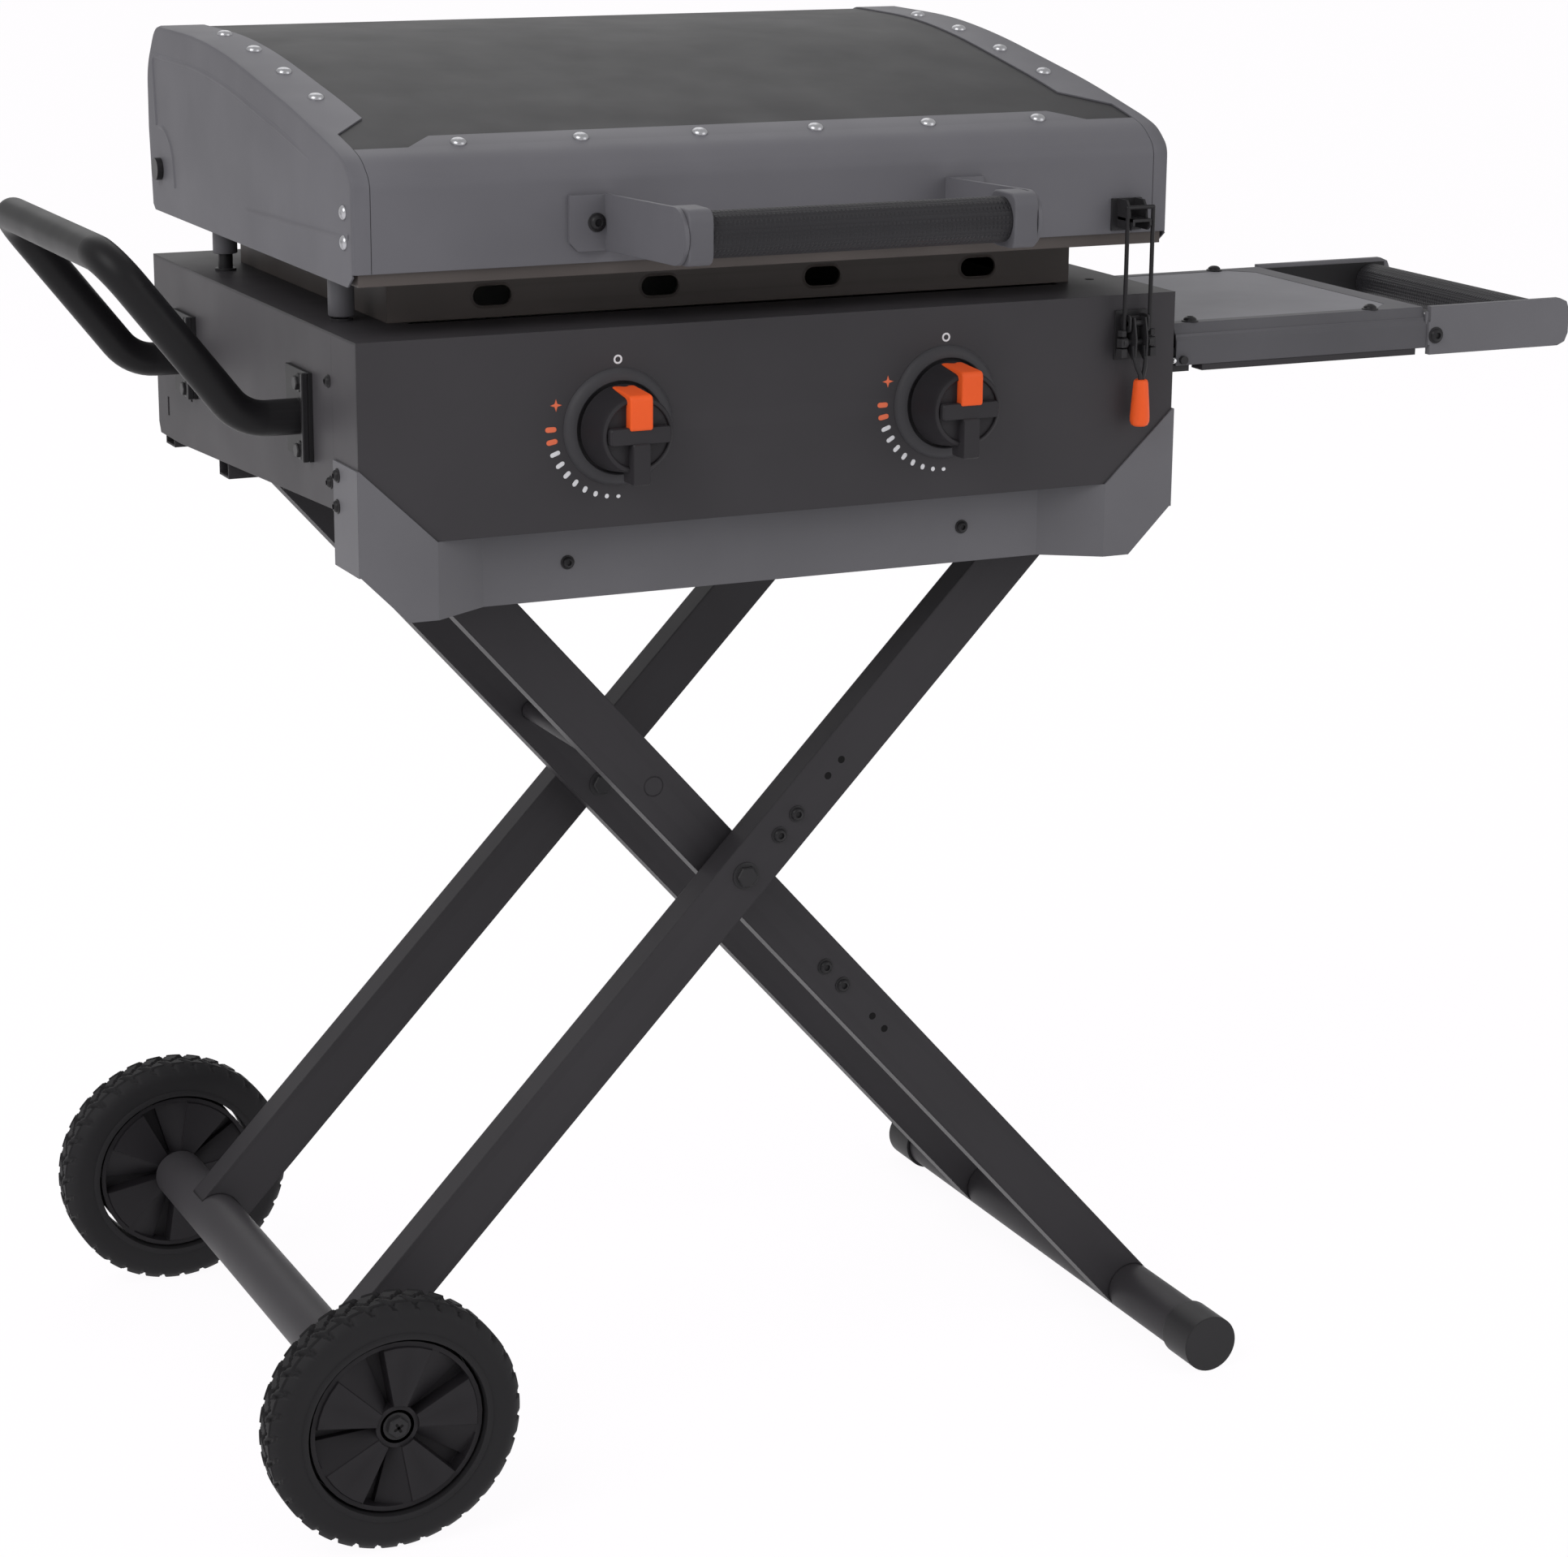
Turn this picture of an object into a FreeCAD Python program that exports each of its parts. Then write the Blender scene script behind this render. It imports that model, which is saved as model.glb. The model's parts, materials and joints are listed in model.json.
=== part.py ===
import FreeCAD, Part
import Sketcher
import math
import os
import re

# Portable outdoor gas griddle on a folding scissor cart.
# Lengths are in millimetres. X runs to the right, Y to the back and Z up.
# The sizes place everything from the middle of the body (X), from the face of
# the control panel (Y) and from the ground (Z). Each finished piece is then
# moved by origin_x and origin_y, so that the origin lies on the ground below
# the middle of the whole object.

os.makedirs("parts", exist_ok=True)
doc = FreeCAD.newDocument("griddle_station")
sheet = doc.addObject("Spreadsheet::Sheet", "sizes")
NAMES = []
NODES = []

# Sizes: name, value, and what it is
SIZES = (
    ("origin_x", -99.4, "shift of the body to the middle of the outline"),
    ("origin_y", -191.05, "shift of the panel face to the middle of the outline"),
    ("fit", 0.05, "running clearance of a pin in its bore, per side"),
    ("seat", 0.2, "clearance round a welded or pressed seat, per side"),
    ("gauge", 1.5, "thickness of the body sheets"),
    ("body_half", 300.0, "half width of the body"),
    ("body_back", 451.0, "rear face of the body"),
    ("body_tall", 130.5, "height of the body walls"),
    ("body_base", 681.5, "lower edge of the front of the body"),
    ("side_seam", 48.5, "seam between the front frame and a side wall"),
    ("dip_up", 16.0, "lower edge of a side wall's front above the body's edge"),
    ("break_in", 55.0, "length of the level part of a side wall's lower edge"),
    ("side_corner", 8.0, "cut corner of a side wall"),
    ("slot_back_in", 26.4, "rear slot in a side wall, from the rear face"),
    ("slot_fore_in", 86.0, "front slot in a side wall, from the rear face"),
    ("slot_low_up", 23.3, "rear slot above the body's lower edge"),
    ("slot_high_up", 43.0, "front slot above the body's lower edge"),
    ("slot_wide", 4.0, "width of a side slot"),
    ("slot_tall", 14.0, "length of a side slot"),
    ("frame_lip", 12.0, "bent lip under the front frame"),
    ("trim_drop", 51.7, "front trim below the body's lower edge"),
    ("trim_rise", 49.9, "upper corner of the trim above the body's lower edge"),
    ("trim_wrap", 46.0, "length of the trim along the side of the body"),
    ("facet_in", 52.5, "width of the trim's flat ends"),
    ("facet_run", 39.9, "width of the trim's slanted parts"),
    ("trim_depth", 23.3, "how far the middle of the trim is set back"),
    ("trim_cut_in", 32.1, "width of the trim's cut lower corners"),
    ("trim_cut_up", 32.1, "height of the trim's cut lower corners"),
    ("deck_side", 58.0, "width of the deck beside its opening"),
    ("deck_open_front", 62.0, "front edge of the opening in the deck"),
    ("deck_rear", 63.0, "width of the deck behind its opening"),
    ("box_deep", 100.0, "depth of the burner box"),
    ("box_lip", 12.0, "lip of the burner box under the deck"),
    ("knob_x", 120.6, "distance of a knob from the middle"),
    ("knob_up", 66.5, "knobs above the body's lower edge"),
    ("bezel_r", 38.8, "outer radius of a knob bezel"),
    ("bezel_bore", 30.0, "inner radius of a knob bezel"),
    ("bezel_deep", 5.0, "depth of a knob bezel"),
    ("knob_r", 27.0, "radius of a knob"),
    ("knob_gap", 5.0, "distance from the panel to a knob"),
    ("knob_deep", 29.0, "depth of the round part of a knob"),
    ("knob_front", 40.4, "distance from the panel to the front of a knob"),
    ("pointer_wide", 16.0, "width of the coloured pointer on a knob"),
    ("tail_wide", 12.5, "width of the tail of a knob"),
    ("tail_reach", 32.5, "length of the tail of a knob from its axis"),
    ("band_high", 11.0, "height of the cross band of a knob"),
    ("spindle_r", 4.0, "radius of a valve spindle"),
    ("valve_back", 40.0, "rear face of a gas valve"),
    ("valve_half", 13.0, "half width of a gas valve"),
    ("nozzle_r", 5.0, "radius of the gas nozzle"),
    ("nozzle_long", 24.0, "length of the gas nozzle"),
    ("manifold_r", 8.0, "radius of the gas manifold"),
    ("manifold_y", 24.0, "place of the gas manifold"),
    ("manifold_left", 170.0, "left end of the gas manifold"),
    ("manifold_right", 230.0, "right end of the gas manifold"),
    ("inlet_r", 11.0, "radius of the gas inlet"),
    ("inlet_long", 34.0, "length of the gas inlet"),
    ("burner_r", 11.0, "radius of the burner tubes"),
    ("burner_half", 55.0, "half spacing of the two tubes of a burner"),
    ("burner_fore", 30.0, "burner tubes from the front of the deck's opening"),
    ("burner_aft", 28.0, "burner tubes from the rear of the deck's opening"),
    ("burner_neck", 46.0, "front end of the burner neck"),
    ("burner_wall", 1.5, "wall of the burner tubes"),
    ("foot_in", 23.5, "griddle feet from the side of the body"),
    ("foot_front", 96.0, "place of the front griddle feet"),
    ("foot_aft", 102.0, "rear griddle feet from the rear of the body"),
    ("foot_r", 8.75, "radius of a griddle foot"),
    ("foot_tall", 33.0, "height of the griddle feet"),
    ("plate_thick", 4.0, "thickness of the griddle plate"),
    ("plate_in", 7.0, "griddle plate in from the side of the body"),
    ("plate_slack", 1.3, "gap between the hood front and the griddle plate"),
    ("plate_aft", 3.0, "griddle plate from the rear of the body"),
    ("wall_thick", 3.0, "thickness of the walls of the griddle plate"),
    ("lip_tall", 15.5, "height of the front wall of the griddle plate"),
    ("wall_tall", 25.5, "height of the side walls of the griddle plate"),
    ("ear_tall", 45.5, "height of the hinge ears of the griddle plate"),
    ("ear_long", 27.0, "length of a hinge ear"),
    ("drain_r", 8.0, "radius of the grease hole"),
    ("guard_in", 22.5, "heat guard in from the griddle feet"),
    ("guard_fore", 8.0, "heat guard behind the front of the deck's opening"),
    ("guard_aft", 3.0, "heat guard before the rear of the deck's opening"),
    ("vent_far", 181.0, "distance of the outer vents from the middle"),
    ("vent_near", 60.6, "distance of the inner vents from the middle"),
    ("vent_wide", 26.0, "width of a vent"),
    ("vent_tall", 13.0, "height of a vent"),
    ("vent_up", 14.5, "vents above the deck"),
    ("chute_half", 25.0, "half width of the grease chute"),
    ("chute_in", 20.0, "grease chute under the griddle plate"),
    ("chute_out", 33.0, "grease chute behind the body"),
    ("chute_deep", 13.0, "depth of the grease chute"),
    ("cup_half", 50.0, "half width of the grease cup"),
    ("cup_deep", 40.0, "front to back size of the grease cup"),
    ("cup_tall", 70.0, "height of the grease cup"),
    ("cup_drop", 6.0, "gap from the chute down to the cup"),
    ("cup_lip", 8.0, "lip of the grease cup"),
    ("runner_thick", 2.0, "thickness of the runners that hold the cup"),
    ("hood_gap", 2.8, "gap between the griddle plate and a hood end"),
    ("cover", 1.2, "thickness of the hood sheets"),
    ("hood_lift", 8.2, "hood front above the underside of the griddle plate"),
    ("hood_skirt", 0.9, "hood ends below the underside of the griddle plate"),
    ("hood_face", 10.0, "face of the hood front"),
    ("face_tall", 58.5, "height of the upright part of the hood front"),
    ("brow_run", 15.0, "run of the slope above the hood front"),
    ("brow_rise", 12.6, "rise of that slope"),
    ("strip_run", 19.0, "run from that slope to the next bend"),
    ("strip_rise", 5.6, "rise from that slope to the next bend"),
    ("fore_run", 77.5, "run to the next bend of the hood top"),
    ("fore_rise", 16.9, "rise to the next bend of the hood top"),
    ("mid_run", 138.2, "run to the middle bend of the hood top"),
    ("mid_rise", 23.2, "rise to the middle bend of the hood top"),
    ("crest_run", 74.6, "run to the last bend of the hood top"),
    ("crest_rise", 7.5, "rise to the last bend of the hood top"),
    ("heel_in", 24.0, "rear end of the hood top, from the hood's rear"),
    ("heel_rise", 0.6, "rise to the rear end of the hood top"),
    ("nape_in", 1.2, "top of the hood rear, from the hood's rear"),
    ("nape_drop", 30.7, "drop to the top of the hood rear"),
    ("hood_aft", 16.0, "hood rear behind the griddle plate"),
    ("rear_tall", 43.9, "height of the hood rear sheet"),
    ("tuck_drop", 15.0, "upright edge of the hood ends below the rear sheet"),
    ("band_wide", 32.0, "width of the bands at the ends of the hood"),
    ("hinge_in", 13.5, "hood hinge from the rear of the griddle plate"),
    ("hinge_up", 30.4, "hood hinge above the underside of the griddle plate"),
    ("hinge_r", 4.0, "radius of the hood hinge pins"),
    ("hinge_head_r", 8.0, "radius of the heads of the hinge pins"),
    ("hinge_head", 4.5, "thickness of the heads of the hinge pins"),
    ("rivet_r", 3.2, "radius of a rivet"),
    ("rivet_high", 2.0, "height of a rivet"),
    ("arm_x", 123.0, "inner face of a handle arm"),
    ("arm_thick", 3.0, "thickness of a handle bracket"),
    ("arm_foot_wide", 28.0, "width of a handle foot"),
    ("arm_up", 7.8, "handle foot above the hood's lower edge"),
    ("arm_corner", 6.0, "cut corner of a handle foot"),
    ("arm_tall", 36.5, "height of a handle foot"),
    ("grip_y", 102.7, "reach of the hood handle"),
    ("grip_up", 22.5, "hood handle above the foot's lower edge"),
    ("grip_r", 14.75, "radius of the handle grip"),
    ("grip_cap", 16.0, "length of a handle end cap"),
    ("cap_r", 17.8, "radius of the handle end caps"),
    ("bolt_r", 5.5, "radius of a bolt head"),
    ("bolt_high", 3.5, "height of a bolt head"),
    ("latch_in", 36.0, "middle of the latch from the side of the body"),
    ("latch_half", 10.0, "half spacing of the latch wires"),
    ("wire_r", 1.5, "radius of the latch wire"),
    ("latch_tall", 36.0, "height of the latch base"),
    ("latch_down", 8.0, "latch base below the top of the body"),
    ("latch_pivot_y", 10.0, "distance from the panel to the lever pin"),
    ("lever_down", 17.0, "lever pin below the top of the body"),
    ("latch_throw", 13.0, "distance from the lever pin to the wire pin"),
    ("latch_ear", 6.5, "inner half width of the latch base"),
    ("lever_half", 5.0, "half width of the latch lever"),
    ("lever_long", 40.0, "length of the lever from its pin to the grip"),
    ("latch_grip_long", 32.0, "length of the latch grip"),
    ("latch_grip_r", 7.5, "radius of the latch grip"),
    ("catch_up", 4.8, "hood catch above the hood's lower edge"),
    ("catch_tall", 19.5, "height of the hood catch"),
    ("wire_up", 15.2, "cross piece of the wire above the catch's lower edge"),
    ("tube_r", 12.0, "radius of the side handle tube"),
    ("tube_wall", 1.5, "wall of the side handle tube"),
    ("tube_front", 112.0, "place of the front arm of the side handle"),
    ("tube_span", 260.0, "distance between the arms of the side handle"),
    ("tube_up", 67.5, "side handle arms above the body's lower edge"),
    ("elbow_out", 40.9, "elbow of the side handle from the body"),
    ("tube_rise", 52.0, "slope of the side handle in degrees"),
    ("tube_slant", 140.6, "length of the sloping part"),
    ("elbow_r", 34.0, "bend radius of the elbows"),
    ("corner_r", 26.0, "bend radius of the upper corners"),
    ("tube_plate", 3.0, "thickness of the side handle plates"),
    ("tube_plate_half", 23.5, "half width of a side handle plate"),
    ("tube_plate_down", 27.0, "side handle plate below the arm"),
    ("tube_plate_up", 32.0, "side handle plate above the arm"),
    ("shelf_gap", 6.0, "gap between the body and the shelf"),
    ("shelf_long", 210.6, "length of the shelf tray"),
    ("shelf_front", 6.0, "front of the shelf"),
    ("shelf_wide", 236.0, "front to back size of the shelf"),
    ("shelf_down", 23.0, "shelf rim below the top of the body"),
    ("shelf_tall", 29.0, "height of the shelf walls"),
    ("shelf_bevel", 6.0, "bevel of the shelf rim"),
    ("shelf_rim", 9.0, "width of the shelf rim"),
    ("shelf_sink", 5.5, "depth of the shelf recess"),
    ("rail_short", 9.6, "shelf rails from the end of the tray"),
    ("rail_wide", 14.0, "width of a shelf rail"),
    ("rail_high", 4.4, "height of a shelf rail"),
    ("rail_inset", 16.0, "distance from the shelf hinge to the rails"),
    ("pin_in", 5.5, "shelf hinge from the end of the tray"),
    ("pin_up", 4.0, "shelf hinge above the lower edge of the tray"),
    ("shelf_pin_r", 3.0, "radius of the shelf hinge pins"),
    ("ear_half", 8.5, "half height of a shelf hinge ear"),
    ("bracket_thick", 2.0, "thickness of the shelf hinge brackets"),
    ("bracket_long", 34.0, "length of the shelf hinge brackets"),
    ("side_arm_long", 122.0, "length of the shelf handle arms"),
    ("side_arm_gap", 1.4, "gap between the tray and its handle arms"),
    ("side_arm_thick", 5.0, "thickness of the shelf handle arms"),
    ("side_arm_under", 5.0, "shelf handle arms below the tray"),
    ("side_arm_over", 1.0, "shelf handle arms above the tray"),
    ("side_arm_round", 9.0, "corner radius of the shelf handle arms"),
    ("side_grip_in", 18.0, "shelf grip from the end of its arms"),
    ("side_grip_up", 12.0, "shelf grip above the lower edge of the tray"),
    ("side_grip_r", 14.0, "radius of the shelf grip"),
    ("pivot_x", 3.3, "place of the scissor pivot"),
    ("pivot_z", 407.0, "height of the scissor pivot"),
    ("pivot_r", 5.0, "radius of the scissor pivot bolts"),
    ("foot_slope", 48.1, "slope of the foot legs in degrees"),
    ("wheel_slope", 46.1, "slope of the wheel legs in degrees"),
    ("top_drop", 13.5, "upper pivot of the foot legs below the body"),
    ("bar_drop", 21.875, "catch bar below the body"),
    ("leg_wide", 38.0, "width of a leg"),
    ("leg_deep", 23.4, "depth of a leg"),
    ("leg_wall", 1.5, "wall of a leg"),
    ("leg_gap", 7.6, "gap between crossing legs"),
    ("front_leg", 65.0, "front face of the front wheel leg"),
    ("rear_leg", 330.0, "front face of the rear foot leg"),
    ("washer_r", 12.0, "radius of the spacers between the legs"),
    ("bar_r", 12.5, "radius of the catch bar"),
    ("bar_over", 5.0, "catch bar beyond the legs"),
    ("top_rod_r", 5.0, "radius of the upper pivot rod"),
    ("hook_thick", 5.0, "thickness of the hooks"),
    ("hook_gap", 6.0, "distance from a hook to the foot leg"),
    ("hook_clear", 1.0, "clearance of the catch bar in the hooks"),
    ("ear_thick", 3.0, "thickness of the leg brackets"),
    ("ear_side", 0.5, "clearance between a leg and its bracket"),
    ("beam_wide", 44.0, "width of the side beams"),
    ("beam_up", 8.5, "side beams above the body's lower edge"),
    ("beam_high", 14.0, "height of the side beams"),
    ("cross_drop", 6.5, "cross rails below the body's lower edge"),
    ("cross_wide", 22.0, "width of the cross rails"),
    ("cross_fore", 155.0, "front cross rail from the rear of the body"),
    ("cross_aft", 23.0, "rear cross rail from the rear of the body"),
    ("brace_at", 86.0, "brace tube above the scissor pivot"),
    ("brace_r", 7.0, "radius of the brace tube"),
    ("splice_near", 37.5, "first leg bolt above the pivot"),
    ("splice_far", 57.0, "second leg bolt above the pivot"),
    ("splice_low", 117.5, "first leg bolt below the pivot"),
    ("splice_end", 139.0, "second leg bolt below the pivot"),
    ("wheel_r", 89.0, "radius of a wheel"),
    ("wheel_wide", 36.0, "width of a wheel"),
    ("rim_r", 63.0, "radius of a wheel rim"),
    ("wheel_front", 49.5, "outer face of the front wheel"),
    ("wheel_rear", 461.6, "inner face of the rear wheel"),
    ("web_deep", 9.0, "how far the wheel disc is set in"),
    ("web_thick", 20.0, "thickness of the wheel disc with its ribs"),
    ("hub_r", 15.0, "radius of the wheel hub"),
    ("axle_r", 6.0, "radius of the axle"),
    ("axle_tube_r", 19.0, "radius of the axle tube"),
    ("axle_plug", 16.0, "depth of the plugs in the ends of the axle tube"),
    ("axle_nut_r", 9.0, "radius of the axle nuts"),
    ("axle_nut", 5.0, "thickness of the axle nuts"),
    ("axle_slack", 0.4, "side play of a wheel"),
    ("foot_tube_r", 19.0, "radius of the foot tube"),
    ("cap_wall", 2.5, "wall of the rubber foot caps"),
    ("cap_long", 34.0, "length of the rubber foot caps"),
    ("foot_tube_front", 23.0, "front end of the foot caps"),
    ("foot_tube_back", 470.0, "rear end of the foot caps"),
    ("over", 1.0, "how far a cutting shape runs past the piece"),
    ("spindle_hole_r", 6.0, "radius of the hole for a spindle in the front"),
    ("spindle_end", 30.0, "inner end of a spindle"),
    ("spindle_bore", 34.0, "depth of the bore for a spindle"),
    ("inlet_wall", 8.0, "solid end of the gas inlet"),
    ("bezel_lip", 2.0, "width of the flat front of a bezel"),
    ("pointer_deep", 12.0, "how deep the pointer and the tail sit in a knob"),
    ("pointer_over", 1.0, "pointer beyond the round part of a knob"),
    ("band_inset", 2.0, "cross band short of the edge of a knob"),
    ("band_back", 3.0, "cross band behind the front of a knob"),
    ("cross_r", 9.5, "radius of the cross tube of a burner"),
    ("neck_r", 8.0, "radius of the neck of a burner"),
    ("drain_edge", 1.0, "grease hole from the rear wall of the plate"),
    ("spout_long", 14.0, "length of the grease chute's outlet"),
    ("cup_slack", 0.4, "side play of the grease cup in its runners"),
    ("runner_long", 32.0, "length of the runners that hold the cup"),
    ("runner_drop", 24.0, "height of the mounts of the runners"),
    ("strip_more", 16.0, "front sheet of the hood behind that bend, between its ends"),
    ("strip_in", 60.0, "that part of the front sheet in from the hood's end"),
    ("strip_gap", 0.3, "gap between the front sheet and the bands"),
    ("tuck_under", 6.0, "top sheet under the front sheet, from the slope"),
    ("side_fore_cut", 9.0, "cut lower front corner of a hood end"),
    ("side_aft_cut", 13.0, "cut lower rear corner of a hood end"),
    ("side_aft_bend", 8.0, "bend in that corner, from the hood's rear"),
    ("side_aft_rise", 3.8, "height of that bend"),
    ("rivet_in", 24.0, "rivets of the bands from the end of the hood"),
    ("rivet_back", 1.0, "front rivets behind the bend"),
    ("side_rivet_low", 19.0, "lower side rivet above the hood's lower edge"),
    ("side_rivet_high", 38.0, "upper side rivet above the hood's lower edge"),
    ("side_rivet_in", 16.0, "side rivets behind the face of the hood"),
    ("arm_edge", 0.4, "handle arm beyond its end cap"),
    ("handle_bolt_in", 9.0, "handle bolt from the arm"),
    ("handle_bolt_down", 4.0, "handle bolt below the grip's axis"),
    ("small_bolt_r", 4.5, "radius of a small bolt head"),
    ("latch_side", 7.0, "latch base beyond its wires"),
    ("latch_ear_out", 4.0, "ears of the latch base beyond the lever pin"),
    ("latch_ear_half", 6.0, "half height of the ears of the latch base"),
    ("latch_pin_r", 2.0, "radius of the pins of the latch"),
    ("lever_top", 5.0, "lever above its pin"),
    ("lever_back", 4.0, "lever behind its pin"),
    ("lever_nose", 5.0, "lever before its pin"),
    ("lever_belly", 8.0, "widest part of the lever before its pin"),
    ("lever_knee", 6.0, "widest part of the lever below the wire pin"),
    ("lever_toe", 1.0, "lower end of the lever behind its pin"),
    ("stalk_r", 3.0, "radius of the stalk in the latch grip"),
    ("stalk_side", 3.0, "stalk beside the middle of the latch"),
    ("stalk_out", 2.0, "stalk before the lever pin"),
    ("stalk_low", 8.0, "lower end of the stalk above that of the grip"),
    ("latch_grip_taper", 1.5, "how much the latch grip narrows"),
    ("wire_pin_over", 4.0, "wire pin beyond the wires"),
    ("wire_eye_r", 4.0, "radius of the eyes of the wire"),
    ("catch_side", 1.0, "gap between the catch and the wires"),
    ("catch_left", 15.5, "hood catch left of the latch's middle"),
    ("catch_right", 10.0, "hood catch right of the latch's middle"),
    ("catch_nose", 3.0, "nose of the catch before the wires"),
    ("catch_thick", 2.0, "thickness of the nose of the catch"),
    ("catch_clear", 0.5, "gap between the nose and the wire"),
    ("tube_bolt_low", 5.0, "lower bolt above the edge of a side handle plate"),
    ("tube_bolt_high", 9.0, "upper bolt below the edge of a side handle plate"),
    ("tube_bolt_fore", 4.0, "bolts before the arm of the side handle"),
    ("trim_bolt_in", 9.0, "side bolts from the end of the trim"),
    ("trim_bolt_high", 9.0, "upper side bolt below the corner of the trim"),
    ("trim_bolt_low", 29.5, "lower side bolt below the corner of the trim"),
    ("side_screw_in", 7.0, "side screws behind the seam"),
    ("side_screw_high", 31.0, "upper side screw below the top of the body"),
    ("side_screw_low", 17.0, "lower side screw above the side wall's edge"),
    ("trim_screw_x", 147.6, "distance of a front screw from the middle"),
    ("trim_screw_up", 25.0, "front screws above the trim's lower edge"),
    ("shelf_play", 0.5, "side play of the shelf on its brackets"),
    ("bracket_rise", 12.0, "hinge bracket above the hinge ear"),
    ("ear_reach", 6.5, "hinge ear beyond the pin"),
    ("pin_over", 3.0, "shelf hinge pin beyond the shelf and the ear"),
    ("side_arm_proud", 1.5, "shelf handle arms proud of the tray"),
    ("tongue_up", 2.0, "tongue of an arm above the lower edge of the tray"),
    ("tongue_down", 10.0, "tongue of an arm below the rim of the tray"),
    ("shelf_bolt_near", 17.0, "inner shelf bolts from the end of the tray"),
    ("shelf_bolt_far", 43.0, "outer shelf bolts from the other end"),
    ("shelf_bolt_in", 11.0, "shelf bolts from the sides of the tray"),
    ("arm_bolt_in", 5.0, "arm bolt from the end of the arm"),
    ("arm_bolt_up", 14.0, "arm bolt above the lower edge of the arm"),
    ("pivot_head_r", 9.0, "radius of the heads of the pivot bolts"),
    ("bracket_half", 14.0, "half width of the ears of a leg bracket"),
    ("bracket_drop", 12.0, "ears of a leg bracket below the pivot"),
    ("rod_over", 4.0, "upper pivot rod beyond the brackets"),
    ("hook_drop", 22.0, "hooks below the catch bar's axis"),
    ("hook_lip", 6.0, "reach of a hook's lip past the catch bar's axis"),
    ("rim_inset", 2.0, "rim short of the tyre on each side"),
    ("rim_thick", 3.0, "thickness of a wheel rim"),
)

for row, (alias, value, note) in enumerate(SIZES, start=1):
    sheet.set("A%d" % row, note)
    sheet.set("B%d" % row, str(value))
    sheet.setAlias("B%d" % row, alias)
    NAMES.append(alias)
doc.recompute()

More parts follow.
